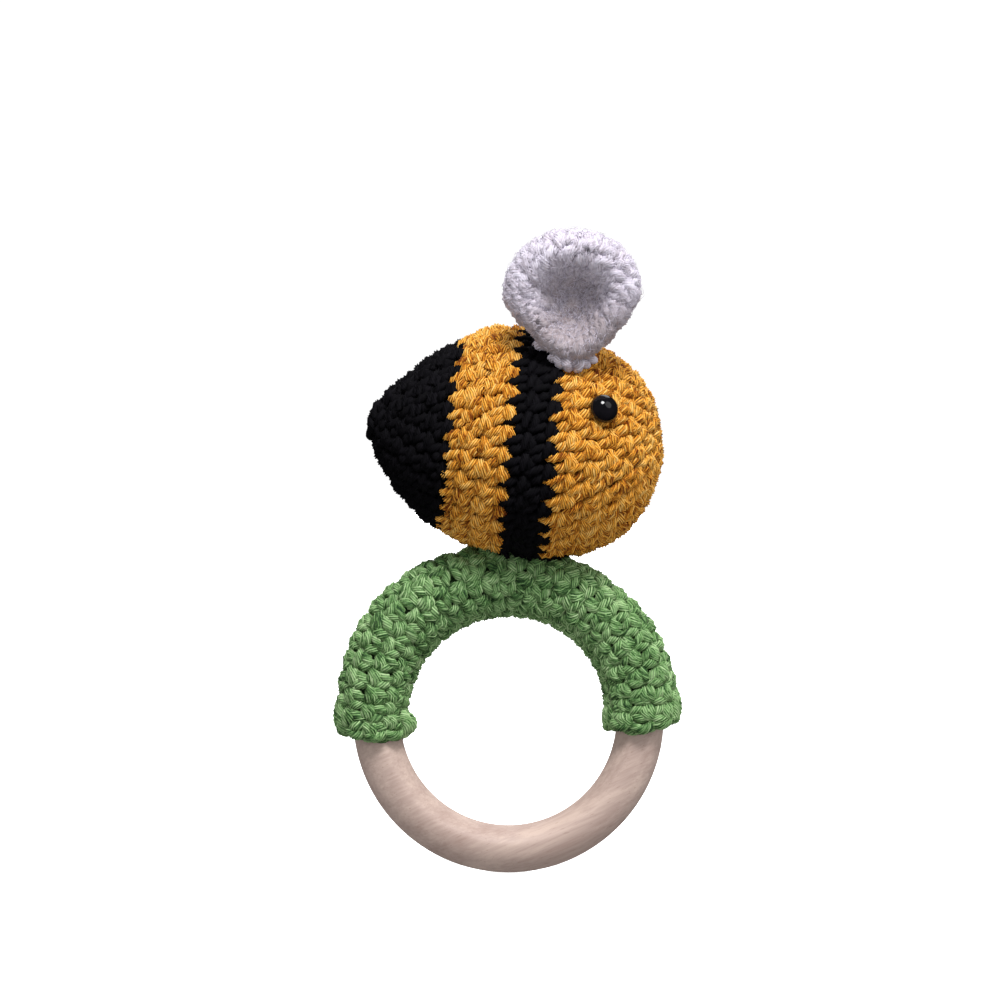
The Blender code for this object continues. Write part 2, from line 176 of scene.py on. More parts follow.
def grid_quads(rows, columns):
    """Faces of a grid of points closed round its columns, and their corners' (row, column)."""
    row, column = np.meshgrid(np.arange(rows - 1), np.arange(columns), indexing="ij")
    row, column = row.ravel(), column.ravel()
    corner_rows = np.stack([row, row, row + 1, row + 1], axis=1)
    corner_columns = np.stack([column, column + 1, column + 1, column], axis=1)
    return corner_rows * columns + corner_columns % columns, corner_rows, corner_columns


class Outline:
    """The outline that a round shape is turned from, by length of arc: levels along its
    axis, radii, and the outward normal's parts along the axis and away from it."""

    def __init__(self, arc, levels, radii, level_steps, radius_steps):
        size = np.hypot(level_steps, radius_steps)
        self.arc, self.levels, self.radii = arc, levels, radii
        self.tables = (levels, radii, -radius_steps / size, level_steps / size)
        self.length = arc[-1]

    def at(self, along):
        """The level, the radius and the normal's two parts."""
        return [np.interp(along, self.arc, table) for table in self.tables]

    def radius_at(self, along):
        return np.interp(along, self.arc, self.radii)


def smooth_curve(controls, count):
    """Points at even steps of parameter along Catmull-Rom curves through (strand, control, axis)."""
    last = controls.shape[1] - 1
    place = np.linspace(0.0, last, count)
    index = np.minimum(place.astype(int), last - 1)
    t = (place - index)[None, :, None]
    before = controls[:, np.maximum(index - 1, 0)]
    start = controls[:, index]
    end = controls[:, index + 1]
    after = controls[:, np.minimum(index + 2, last)]
    return 0.5 * (
        2 * start
        + (end - before) * t
        + (2 * before - 5 * start + 4 * end - after) * t**2
        + (3 * start - before - 3 * end + after) * t**3
    )


class Mesh:
    """Vertices, faces, texture coordinates, tones and creases gathered for one piece.

    A tone is a stitch's own shade; a crease is painted shade, 1 deep between plies or stitches.
    """

    def __init__(self):
        self.points, self.tones, self.creases, self.faces, self.uvs = [], [], [], [], []
        self.count = 0

    def add(self, points, tones=0.0, creases=0.0):
        """Adds vertices and returns the number of the first."""
        points = points.reshape(-1, 3)
        self.points.append(points)
        self.tones.append(np.broadcast_to(tones, len(points)))
        self.creases.append(np.broadcast_to(creases, len(points)))
        self.count += len(points)
        return self.count - len(points)

    def add_faces(self, faces, uvs):
        """Adds (face, corner) vertex numbers and (face, corner, 2) texture coordinates."""
        self.faces.append(faces)
        self.uvs.append(uvs)

    def add_caps(self, starts, rows, columns):
        """Closes the first and last rows of the grids that begin at these vertices."""
        around = np.arange(columns)
        for end in (around[::-1], (rows - 1) * columns + around):
            caps = end + np.reshape(starts, (-1, 1))
            self.add_faces(caps, np.zeros((*caps.shape, 2)))

    def add_grid(self, points, crease=0.0, looped=False):
        """A (row, column, axis) grid closed round its columns. A looped one's last row joins
        its first, and the others have capped ends."""
        rows, columns = points.shape[:2]
        first = self.add(points, 0.0, crease)
        quads, corner_rows, corner_columns = grid_quads(rows + looped, columns)
        corners = np.stack([corner_rows, corner_columns], axis=-1)
        self.add_faces(first + quads % (rows * columns), corners)
        if not looped:
            self.add_caps(first, rows, columns)

    def build(self, name, material):
        points = np.concatenate(self.points)
        corners = np.concatenate([faces.ravel() for faces in self.faces])
        sizes = np.concatenate([np.full(len(faces), faces.shape[1]) for faces in self.faces])
        mesh = bpy.data.meshes.new(name)
        mesh.vertices.add(len(points))
        mesh.vertices.foreach_set("co", points.astype(np.float32).ravel())
        mesh.loops.add(len(corners))
        mesh.loops.foreach_set("vertex_index", corners.astype(np.int32))
        mesh.polygons.add(len(sizes))
        mesh.polygons.foreach_set("loop_start", (np.cumsum(sizes) - sizes).astype(np.int32))
        mesh.polygons.foreach_set("use_smooth", np.ones(len(sizes), bool))
        layer = mesh.uv_layers.new(name="strand")
        uvs = np.concatenate([uv.reshape(-1, 2) for uv in self.uvs])
        layer.data.foreach_set("uv", uvs.astype(np.float32).ravel())
        for name_of, values in (("tone", self.tones), ("crease", self.creases)):
            attribute = mesh.attributes.new(name_of, "FLOAT", "POINT")
            attribute.data.foreach_set("value", np.concatenate(values).astype(np.float32))
        mesh.update()
        mesh.materials.append(material)
        return add_object(name, mesh)


VALLEY, SHOULDER = 0.75, 1.07  # a ply's lowest and highest distance from the middle, in yarn radii
# How strong the painted shade in the valleys between plies is
VALLEY_CREASE = 0.95


def add_strands(
    mesh, points, normals, radii, sunk=None, lead=PLY_LEAD, plies=PLIES, valley=VALLEY_CREASE
):
    """Plied yarns along (strand, ring, axis) centrelines, with closed ends.

    Every ply has a shoulder and a valley, and the grid turns with the plies. Painted shade
    darkens valleys by valley, and rings by sunk: how deep each lies among its neighbours, 0 to 1.
    """
    strands, rings = points.shape[:2]
    sides = 2 * plies
    along = unit(np.gradient(points, axis=1))
    outward = unit(normals - (normals * along).sum(-1, keepdims=True) * along)
    sideways = np.cross(along, outward)
    steps = np.linalg.norm(np.diff(points, axis=1), axis=-1)
    length = np.concatenate([np.zeros((strands, 1)), np.cumsum(steps, axis=1)], axis=1)
    start = rng.random((strands, 1)) * TAU
    turn = (start - TAU * length / lead)[:, :, None] + TAU * np.arange(sides) / sides
    reach = radii[:, :, None] * np.tile([VALLEY, SHOULDER], plies)
    ring = outward[:, :, None] * np.cos(turn)[..., None] + sideways[:, :, None] * np.sin(turn)[..., None]
    shell = points[:, :, None] + reach[..., None] * ring
    sunk = np.zeros((strands, rings)) if sunk is None else sunk
    # Painted shade: ply valleys and sunk rings are coloured towards the deep colour.
    creases = np.maximum(sunk[:, :, None], np.tile([valley, 0.0], plies))
    tones = np.repeat(rng.normal(0.0, 1.0, strands), rings * sides)
    first = mesh.add(shell, tones, creases.ravel())
    quads, corner_rows, corner_columns = grid_quads(rings, sides)
    starts = first + np.arange(strands) * rings * sides
    u = length[:, corner_rows] / MM
    v = np.broadcast_to(corner_columns / sides, u.shape) + np.arange(strands)[:, None, None]
    mesh.add_faces((quads + starts[:, None, None]).reshape(-1, 4), np.stack([u, v], axis=-1))
    mesh.add_caps(starts, rings, sides)


def add_shell(mesh, outer, inner):
    """A closed band of painted shade between two grids of points (row, column, axis)."""
    mesh.add_grid(np.concatenate([outer, inner[::-1]]), crease=1.0, looped=True)


# ---------------------------------------------------------------- stitches

# The strands of a stitch: how far from this row to the next, place round it in pitches,
# height in reliefs, and thickness as a share of the yarn's.
# The first leg starts in a narrow tip over the row before. The second comes up out of a
# hole beside it as a round lobe. Two steep loops lie over their ends and close the row.
BODY_LEGS = (
    (
        (-0.48, 0.12, -0.50, 0.34), (-0.37, 0.10, 0.50, 0.66), (-0.14, 0.04, 0.95, 0.94),
        (0.12, -0.08, 1.00, 1.02), (0.34, -0.20, 0.70, 1.00), (0.50, -0.28, -0.40, 0.90),
        (0.54, -0.30, -1.70, 0.70),
    ),
    (
        (0.02, 0.42, -1.60, 0.75), (0.03, 0.46, -0.20, 1.02), (0.18, 0.40, 0.75, 1.10),
        (0.38, 0.27, 0.80, 1.06), (0.54, 0.18, -0.30, 0.92), (0.58, 0.15, -1.70, 0.70),
    ),
    (
        (0.42, 0.54, -1.60, 0.70), (0.44, 0.44, -0.10, 0.92), (0.53, 0.20, 0.85, 1.04),
        (0.63, -0.08, 1.05, 1.06), (0.69, -0.33, 0.60, 1.00), (0.70, -0.50, -0.40, 0.88),
        (0.68, -0.56, -1.60, 0.66),
    ),
    (
        (0.72, 0.52, -1.70, 0.72), (0.74, 0.42, -0.20, 0.94), (0.84, 0.19, 0.70, 1.05),
        (0.91, -0.02, 0.85, 1.08), (0.91, -0.21, 0.45, 1.02), (0.87, -0.38, -0.40, 0.92),
        (0.82, -0.46, -1.70, 0.70),
    ),
)
# Two legs that fan out of one hole, with two loops across their ends that turn down into
# the holes of the next row.
FAN_LEGS = (
    (
        (-0.13, 0.03, -1.70, 0.45), (-0.08, 0.00, -0.40, 0.66), (0.06, -0.09, 0.60, 0.92),
        (0.26, -0.20, 1.00, 1.04), (0.44, -0.30, 0.65, 1.00), (0.56, -0.37, -0.40, 0.86),
        (0.60, -0.40, -1.60, 0.66),
    ),
    (
        (-0.04, 0.08, -1.70, 0.45), (0.01, 0.11, -0.30, 0.70), (0.14, 0.19, 0.65, 0.94),
        (0.34, 0.27, 0.95, 1.04), (0.50, 0.33, 0.45, 0.96), (0.59, 0.38, -0.50, 0.84),
        (0.62, 0.41, -1.60, 0.66),
    ),
    (
        (0.84, -0.45, -1.60, 0.62), (0.74, -0.38, -0.10, 0.82), (0.64, -0.20, 0.85, 0.98),
        (0.60, 0.04, 1.10, 1.04), (0.63, 0.24, 0.75, 0.98), (0.73, 0.37, -0.20, 0.84),
        (0.82, 0.43, -1.60, 0.62),
    ),
    (
        (1.00, -0.44, -1.70, 0.60), (0.95, -0.35, -0.30, 0.84), (0.86, -0.16, 0.60, 1.00),
        (0.83, 0.06, 0.80, 1.06), (0.86, 0.24, 0.45, 1.00), (0.94, 0.37, -0.40, 0.84),
        (0.99, 0.43, -1.70, 0.60),
    ),
)
LEG_RINGS = 7


class Row:
    """One row of stitches on a surface, in the surface's own coordinates."""

    def __init__(self, start, height, first, pitch, count):
        self.start, self.height = start, height
        self.first, self.pitch, self.count = first, pitch, count


def add_stitches(mesh, place, rows, relief, yarn, legs, wobble=1.0, shade=None, depth=1.0):
    """The strands of every stitch of the rows.

    place(across, along, height) gives points and outward normals. shade(across, along),
    from 0 to 1, paints shade on stitches that little light reaches, and depth scales how
    dark the painted shade in the creases is.
    """
    for row in rows:
        middle = row.first + row.pitch * np.arange(row.count)
        lean = rng.normal(0.0, 0.06 * wobble, (row.count, 1))
        swell = 1 + 0.05 * wobble * rng.normal(size=(row.count, 1))
        for leg in legs:
            leg = np.array(leg)
            drift = rng.normal(0.0, 0.03 * wobble, (3, row.count, 1))
            across = middle[:, None] + row.pitch * (leg[:, 1] + lean * leg[:, 0] + drift[0])
            along = row.start + row.height * (leg[:, 0] + drift[1])
            height = relief * (leg[:, 2] + 4.0 * drift[2])
            controls = np.stack([across, along, height, yarn * leg[:, 3] * swell], axis=-1)
            smooth = smooth_curve(controls, LEG_RINGS)
            points, normals = place(smooth[..., 0], smooth[..., 1], smooth[..., 2])
            # Painted shade: the lower a strand dives below its crest, the darker it is coloured.
            sunk = depth * np.clip(0.2 - 0.8 * smooth[..., 2] / relief, 0.0, 1.0)
            if shade is not None:
                sunk = np.maximum(sunk, shade(smooth[..., 0], smooth[..., 1]))
            add_strands(mesh, points, normals, smooth[..., 3], sunk, valley=VALLEY_CREASE * depth)


def add_route(mesh, controls, normals, radii, rings, **settings):
    """Yarns through (strand, control, axis) points, each control with its own normal and radius."""
    radii = np.broadcast_to(np.asarray(radii, float), controls.shape[:2])
    joined = np.concatenate([controls, normals, radii[..., None]], axis=-1)
    smooth = smooth_curve(joined, rings)
    add_strands(mesh, smooth[..., :3], unit(smooth[..., 3:6]), smooth[..., 6], **settings)


# ---------------------------------------------------------------- round the wooden ring

NEAR = np.array([0.0, -1.0, 0.0])


def from_the_middle(angle):
    """Unit vectors out of the ring's middle, at angles from +X turning towards +Z."""
    return np.stack([np.cos(angle), np.zeros_like(angle), np.sin(angle)], axis=-1)


def on_tube(angle, roll, mean_radius, reach):
    """Points reach from a centreline round the ring, and their normals; roll 0 is outward and
    90 degrees is near."""
    out = from_the_middle(angle)
    normal = out * np.cos(roll)[..., None] + NEAR * np.sin(roll)[..., None]
    centreline = np.array(RING_CENTRE) + out * mean_radius
    return centreline + normal * np.asarray(reach)[..., None], normal


def pushed_out(points, mean_radius, keep):
    """Points pushed out of a tube round the ring until they are keep from its centreline."""
    angle = np.arctan2(points[..., 2] - RING_CENTRE.z, points[..., 0] - RING_CENTRE.x)
    nearest = np.array(RING_CENTRE) + from_the_middle(angle) * mean_radius
    away = points - nearest
    distance = np.linalg.norm(away, axis=-1)
    return nearest + away * np.maximum(1.0, keep / np.maximum(distance, 1e-9))[..., None]


# ---------------------------------------------------------------- body surface


def body_radius(station):
    """The CAD skin's outside radius at stations along the body."""
    toward_head = np.clip((station - BODY_WIDEST) / HEAD_LENGTH, 0.0, 1.0)
    toward_tail = np.clip((BODY_WIDEST - station) / TAIL_LENGTH, 0.0, 1.0)
    head = (1.0 - toward_head**HEAD_POWER) ** (1.0 / HEAD_POWER)
    tail = (1.0 - toward_tail**2) ** TAIL_POWER
    return BODY_RADIUS * np.where(station > BODY_WIDEST, head, tail)


OUTLINE_STEPS = 600
SMOOTHING_STEPS = 41  # the outline's slopes are averaged over this many of its steps


def averaged(values):
    window = np.hanning(SMOOTHING_STEPS)
    padded = np.pad(values, SMOOTHING_STEPS // 2, mode="edge")
    return np.convolve(padded, window / window.sum(), "valid")


def body_outline():
    """The body's outline from the flat tail end to the nose; its levels are stations."""
    quarter = np.linspace(0.0, 1.0, 800) * math.pi / 2
    stations = TAIL_END + (NOSE - TAIL_END) * np.sin(quarter)
    radii = body_radius(stations)
    end_cap = np.linspace(0.0, radii[0], 60)[:-1]
    stations = np.concatenate([np.full(len(end_cap), TAIL_END), stations])
    radii = np.concatenate([end_cap, radii])
    arc = arc_lengths(stations, radii)
    even = np.linspace(0.0, arc[-1], OUTLINE_STEPS)
    stations, radii = np.interp(even, arc, stations), np.interp(even, arc, radii)
    steps = averaged(np.gradient(stations)), averaged(np.gradient(radii))
    return Outline(even, stations, radii, *steps)


BODY = body_outline()


def arc_at(station):
    """The arc length at a station ahead of the flat tail end, which takes the first steps."""
    ahead = OUTLINE_STEPS // 10
    return float(np.interp(station, BODY.levels[ahead:], BODY.arc[ahead:]))


def fullness(station, angle):
    """How far the stuffed shape swells past the CAD outline; angle 0 is up and 90 is near."""
    top = np.maximum(0.0, np.cos(angle)) ** 2
    under = np.maximum(0.0, -np.cos(angle)) ** 2
    hump = 1.3 * MM * bulge(station, (STRIPE_STATIONS[0] + STRIPE_STATIONS[1]) / 2, 7.0 * MM)
    belly = bulge(station, -22.0 * MM, 8.0 * MM)
    flat_nose = 1.1 * MM * bulge(station, NOSE, 5.0 * MM)
    blunt = 1.5 * MM * bulge(station, TAIL_END, 4.0 * MM)
    return (hump + blunt) * top + belly * MM * (1.1 * top + under) - flat_nose


def slip(along, angle):
    """How far the rounds at the top slide towards the head, as the back arches."""
    top = np.maximum(0.0, np.cos(angle)) ** 3
    return 2.2 * MM * top * bulge(along, arc_at(STRIPE_STATIONS[0]), 10.0 * MM)


BODY_RELIEF = 1.25 * MM  # half the height that a stitch's yarn rises and dives
POLE_MARGIN = 0.15 * MM  # stitches keep this far from the ends of the outline
LEAST_REACH = 0.05 * MM  # nothing comes nearer to the axis
CREST_DEPTH = YARN_RADIUS - SKIN_RISE  # the highest yarn centres lie this far inside the CAD skin
SLEEVE_SURFACE = 8.3 * MM  # the crochet sleeve's outside, from its centreline
ROCKING_ROOM = 0.25 * MM  # between the body and the sleeve, for the bee to rock


def body_place(across, along, height):
    """Points on the body: across is an angle, along an arc length, height the relief at a crest."""
    along = np.clip(along + slip(along, across), POLE_MARGIN, BODY.length - POLE_MARGIN)
    station, radius, slope_s, slope_r = BODY.at(along)
    depth = BODY_RELIEF - height + CREST_DEPTH
    lift = fullness(station, across) - depth
    reach = np.maximum(radius + lift * slope_r, LEAST_REACH)
    spoke = np.stack([-np.cos(across), -np.sin(across), np.zeros_like(across)], axis=-1)
    axis = np.array([0.0, 0.0, 1.0])
    local = spoke * reach[..., None] + axis * (station + lift * slope_s)[..., None]
    normal = spoke * slope_r[..., None] + axis * slope_s[..., None]
    points = in_world(BODY_POSE, local)
    keep = SLEEVE_SURFACE + ROCKING_ROOM + YARN_RADIUS + (BODY_RELIEF - height)
    return pushed_out(points, SLEEVE_MEAN_RADIUS, keep), turned_by(BODY_POSE, normal)


def band_rows(start, end, count, number):
    """Rows of stitches between two arc lengths; number is how many rows came before.

    Rounds have different numbers of stitches, so they're lined up at the near side.
    """
    height = (end - start) / count
    rows = []
    for i in range(count):
        middle = start + height * (i + 0.5)
        stitches = max(6, round(TAU * BODY.radius_at(middle) / STITCH_PITCH))
        pitch = TAU / stitches
        first = math.pi / 2 + ROUND_SHIFT * pitch * (number + i)
        rows.append(Row(start + height * i, height, first, pitch, stitches))
    return rows


# The heights, greatest row step and columns of the dark sheet of painted shade under the stitches
SHADE_SHEET_OUTSIDE = -1.5 * MM
SHADE_SHEET_INSIDE = -1.9 * MM
SHADE_SHEET_STEP = 1.2 * MM
SHADE_SHEET_COLUMNS = 96


def add_shade_sheet(mesh, start, end):
    """A dark sheet of painted shade under the stitches, seen through the holes between them."""
    rows = max(6, round((end - start) / SHADE_SHEET_STEP))
    along, across = grid_round(np.linspace(start, end, rows), SHADE_SHEET_COLUMNS)
    outside = body_place(across, along, SHADE_SHEET_OUTSIDE)[0]
    inside = body_place(across, along, SHADE_SHEET_INSIDE)[0]
    add_shell(mesh, outside, inside)


# ---------------------------------------------------------------- materials


def srgb(red, green, blue):
    """A linear colour from 0 to 255 display values."""
    values = []
    for value in (red, green, blue):
        share = value / 255
        values.append(share / 12.92 if share <= 0.04045 else ((share + 0.055) / 1.055) ** 2.4)
    return (*values, 1.0)


class Shader:
    """A material's node tree, with short calls for adding and joining nodes."""

    def __init__(self, name, **settings):
        self.material = bpy.data.materials.new(name)
        self.material.use_nodes = True
        self.nodes = self.material.node_tree.nodes
        self.links = self.material.node_tree.links
        self.surface = self.nodes["Principled BSDF"]
        for socket, value in settings.items():
            self.surface.inputs[socket.replace("_", " ")].default_value = value

    def add(self, kind, inputs=None, **settings):
        node = self.nodes.new(kind)
        for name, value in settings.items():
            setattr(node, name, value)
        for socket, value in (inputs or {}).items():
            self.join(value, node.inputs[socket])
        return node

    def join(self, value, socket):
        if isinstance(value, bpy.types.NodeSocket):
            self.links.new(value, socket)
        else:
            socket.default_value = value

    def math(self, operation, a, b=0.0):
        node = self.add("ShaderNodeMath", operation=operation)
        self.join(a, node.inputs[0])
        self.join(b, node.inputs[1])
        return node.outputs[0]

    def scaled(self, value, scale, base):
        """value times scale, plus base."""
        node = self.add("ShaderNodeMath", operation="MULTIPLY_ADD")
        for number, socket in zip((value, scale, base), node.inputs):
            self.join(number, socket)
        return node.outputs[0]

    def weighted(self, *terms):
        """The sum of (value, weight) pairs."""
        total = None
        for value, weight in terms:
            part = self.math("MULTIPLY", value, weight)
            total = part if total is None else self.math("ADD", total, part)
        return total

    def mix(self, blend, factor, first, second):
        node = self.add("ShaderNodeMix", data_type="RGBA", blend_type=blend)
        for value, number in ((factor, 0), (first, 6), (second, 7)):
            self.join(value, node.inputs[number])
        return node.outputs[2]

    def place(self):
        return self.add("ShaderNodeTexCoord").outputs["Object"]

    def attribute(self, name):
        return self.add("ShaderNodeAttribute", attribute_name=name).outputs["Fac"]

    def noise(self, vector, scale, detail=3.0, roughness=0.5):
        inputs = {"Vector": vector, "Scale": scale, "Detail": detail, "Roughness": roughness}
        return self.add("ShaderNodeTexNoise", inputs).outputs["Fac"]

    def stretched(self, vector, scale):
        return self.add("ShaderNodeMapping", {"Vector": vector, "Scale": scale}).outputs["Vector"]

    def turned(self, vector, rotation):
        inputs = {"Vector": vector, "Rotation": rotation}
        return self.add("ShaderNodeMapping", inputs).outputs["Vector"]

    def ramp(self, factor, stops):
        node = self.add("ShaderNodeValToRGB", {"Fac": factor})
        elements = node.color_ramp.elements
        while len(elements) < len(stops):
            elements.new(0.5)
        for element, (position, colour) in zip(elements, stops):
            element.position = position
            element.color = colour
        return node.outputs["Color"]

    def bump(self, height, distance, strength):
        inputs = {"Height": height, "Distance": distance, "Strength": strength}
        return self.add("ShaderNodeBump", inputs).outputs["Normal"]

    def finish(self, colour, roughness, normal=None):
        self.join(colour, self.surface.inputs["Base Color"])
        self.join(roughness, self.surface.inputs["Roughness"])
        if normal is not None:
            self.join(normal, self.surface.inputs["Normal"])
        return self.material


CREASE_POWER = 1.2  # above 1, the lines of painted shade between plies are narrower than the plies


def yarn_material(name, deep, dark, main, light, sheen=0.2, shine=0.25, shadow=0.9, line=None):
    """Twisted acrylic yarn: fine fibres along the plies, a tone of its own for each stitch,
    and painted shade in the deep colour between plies and stitches. line colours the darkest fibres."""
    shader = Shader(
        name,
        Sheen_Weight=sheen,
        Sheen_Roughness=0.45,
        Sheen_Tint=light,
        Specular_IOR_Level=shine,
    )
    uv = shader.add("ShaderNodeUVMap", uv_map="strand").outputs["UV"]
    place = shader.place()
    fibres = shader.noise(shader.stretched(uv, (0.35, 15.0, 1.0)), 1.0, 3.0, 0.6)
    flecks = shader.noise(place, 2600.0, 2.0, 0.6)
    patches = shader.noise(place, 260.0, 2.0)
    tone = shader.attribute("tone")
    mixed = shader.weighted((fibres, 2.0), (patches, 0.3), (flecks, 0.4), (tone, 0.06))
    mixed = shader.math("SUBTRACT", mixed, 0.85)
    colour = shader.ramp(mixed, ((0.2, line or deep), (0.36, dark), (0.5, main), (0.85, light)))
    # Painted shade: the crease attribute mixes the colour towards deep, by shadow.
    crease = shader.math("POWER", shader.attribute("crease"), CREASE_POWER)
    shaded = shader.mix("MIX", shader.math("MULTIPLY", crease, shadow), colour, deep)
    height = shader.math("ADD", fibres, shader.math("MULTIPLY", flecks, 0.5))
    normal = shader.bump(height, 0.3 * MM, 0.6)
    return shader.finish(shaded, shader.scaled(fibres, 0.2, 0.68), normal)


def wood_material():
    """Unvarnished beech, turned smooth: soft growth rings, short dark pores and faint marks."""
    shader = Shader("turned_beech", Specular_IOR_Level=0.35)
    # The ring is cut from a plank whose grain runs at a slant across it.
    plank = shader.turned(shader.place(), (0.0, math.radians(24), 0.0))
    warped = shader.noise(shader.stretched(plank, (9.0, 40.0, 60.0)), 1.0, 3.0)
    bands = shader.noise(shader.stretched(plank, (14.0, 160.0, 210.0)), 1.0, 4.0, 0.55)
    streaks = shader.noise(shader.stretched(plank, (55.0, 1500.0, 1500.0)), 1.0, 3.0, 0.6)
    pores = shader.noise(shader.stretched(plank, (420.0, 5200.0, 5200.0)), 1.0, 2.0, 0.5)
    grain = shader.weighted((bands, 0.5), (streaks, 0.35), (warped, 0.15))
    colour = shader.ramp(
        grain,
        (
            (0.30, srgb(148, 124, 115)),
            (0.48, srgb(168, 147, 138)),
            (0.62, srgb(186, 165, 154)),
            (0.78, srgb(160, 136, 126)),
        ),
    )
    dots = shader.ramp(pores, ((0.27, (0.62, 0.55, 0.5, 1.0)), (0.36, (1.0, 1.0, 1.0, 1.0))))
    pored = shader.mix("MULTIPLY", 0.7, colour, dots)
    normal = shader.bump(shader.math("ADD", streaks, pores), 0.08 * MM, 0.35)
    return shader.finish(pored, shader.scaled(streaks, 0.2, 0.45), normal)


def eye_material():
    """Glossy moulded black plastic with the faintest unevenness."""
    shader = Shader("glossy_black_plastic", Specular_IOR_Level=0.3)
    place = shader.place()
    waves = shader.noise(place, 350.0, 2.0)
    colour = shader.ramp(waves, ((0.3, (0.004, 0.004, 0.005, 1.0)), (0.7, (0.007, 0.006, 0.008, 1.0))))
    roughness = shader.scaled(shader.noise(place, 1200.0, 3.0), 0.06, 0.03)
    return shader.finish(colour, roughness, shader.bump(waves, 0.02 * MM, 0.2))


def plastic_material():
    """Unpainted milky plastic of the washers and the rattle ball, faintly clouded."""
    shader = Shader("milky_plastic", Specular_IOR_Level=0.5, Subsurface_Weight=0.25)
    shader.surface.inputs["Subsurface Radius"].default_value = (2.0 * MM,) * 3
    place = shader.place()
    clouds = shader.noise(place, 180.0, 4.0)
    colour = shader.ramp(clouds, ((0.3, srgb(214, 212, 204)), (0.7, srgb(236, 235, 229))))
    normal = shader.bump(shader.noise(place, 900.0), 0.04 * MM, 0.25)
    return shader.finish(colour, shader.scaled(clouds, 0.2, 0.3), normal)


def steel_material():
    """Bright steel shot with fine scratches."""
    shader = Shader("steel_shot", Metallic=1.0)
    marks = shader.noise(shader.stretched(shader.place(), (3000.0, 300.0, 3000.0)), 1.0, 4.0)
    colour = shader.ramp(marks, ((0.3, srgb(150, 152, 156)), (0.7, srgb(200, 201, 204))))
    return shader.finish(colour, shader.scaled(marks, 0.25, 0.12), shader.bump(marks, 0.02 * MM, 0.3))


def filling_material():
    """Loose white polyester filling."""
    shader = Shader("polyester_wadding", Sheen_Weight=0.5, Sheen_Roughness=0.6, Specular_IOR_Level=0.1)
    stretched = shader.stretched(shader.place(), (900.0, 2600.0, 1500.0))
    wisps = shader.noise(stretched, 1.0, 5.0, 0.65)
    colour = shader.ramp(wisps, ((0.3, srgb(206, 206, 204)), (0.7, srgb(244, 244, 242))))
    return shader.finish(colour, shader.scaled(wisps, 0.15, 0.82), shader.bump(wisps, 0.4 * MM, 0.7))


YELLOW = yarn_material(
    "yellow_acrylic_yarn",
    srgb(92, 36, 0),
    srgb(196, 119, 24),
    srgb(243, 172, 58),
    srgb(252, 204, 116),
    sheen=0.1,
    shine=0.15,
)
BLACK = yarn_material(
    "black_acrylic_yarn",
    srgb(10, 9, 12),
    srgb(12, 11, 14),
    srgb(14, 13, 17),
    srgb(20, 18, 23),
    sheen=0.03,
    shine=0.06,
)
GREEN = yarn_material(
    "green_acrylic_yarn",
    srgb(22, 56, 22),
    srgb(76, 116, 58),
    srgb(128, 170, 106),
    srgb(180, 210, 154),
)
WHITE = yarn_material(
    "white_acrylic_yarn",
    srgb(130, 114, 110),
    srgb(200, 192, 204),
    srgb(217, 210, 225),
    srgb(232, 228, 242),
    sheen=0.3,
    shine=0.2,
    shadow=0.85,
    line=srgb(182, 173, 186),
)
WOOD = wood_material()
EYE_PLASTIC = eye_material()
MILKY_PLASTIC = plastic_material()
STEEL = steel_material()
WADDING = filling_material()


# ---------------------------------------------------------------- body of the bee


def placed(piece, body, nodes):
    """Joins a finished piece to the frame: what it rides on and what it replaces."""
    if body:
        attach(piece, body)
    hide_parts(*nodes)


def make_skins():
    """The four colours of the body's crochet, worked in rounds from the tail to the nose."""
    tail, rear, middle = (arc_at(station) for station in STRIPE_STATIONS)
    bands = (
        ("tail_cone", 0.0, tail, 6, BLACK, "black_yarn"),
        ("rear_stripe", tail, rear, 3, YELLOW, "yellow_yarn"),
        ("middle_stripe", rear, middle, 2, BLACK, "black_yarn"),
        ("head_cap", middle, BODY.length, 8, YELLOW, "yellow_yarn"),
    )
    number = 0
    for node, start, end, count, material, slot in bands:
        mesh = Mesh()
        rows = band_rows(start, end, count, number)
        add_stitches(mesh, body_place, rows, BODY_RELIEF, YARN_RADIUS, BODY_LEGS)
        add_shade_sheet(mesh, start, end)
        placed(mesh.build(node + "_crochet", material), "bee", [node])
        number += count


make_skins()


# ---------------------------------------------------------------- wooden ring

RIDGE_DEPTH = 0.07  # the turned section is this much flatter between its four soft ridges
RIDGE_SHIFT = 0.24
RIDGE_ROUNDING = 0.1


def make_wooden_ring():
    """The turned ring, with a soft ridge in the middle of each face."""
    around, section = 240, 64
    turn, roll = grid_round(TAU * np.arange(around) / around, section)
    # The ridge on each face lies a little nearer the hole than the middle of the wood.
    shifted = roll - RIDGE_SHIFT * np.sin(roll)
    flats = np.sqrt(np.sin(2 * shifted) ** 2 + RIDGE_ROUNDING**2) - RIDGE_ROUNDING
    radius = RING_SECTION_RADIUS * (1.0 - RIDGE_DEPTH * flats)
    mesh = Mesh()
    mesh.add_grid(on_tube(turn, -roll, RING_MEAN_RADIUS, radius)[0], looped=True)
    placed(mesh.build("wooden_ring_turned", WOOD), "ring", ["wooden_ring"])


make_wooden_ring()


# ---------------------------------------------------------------- sleeve

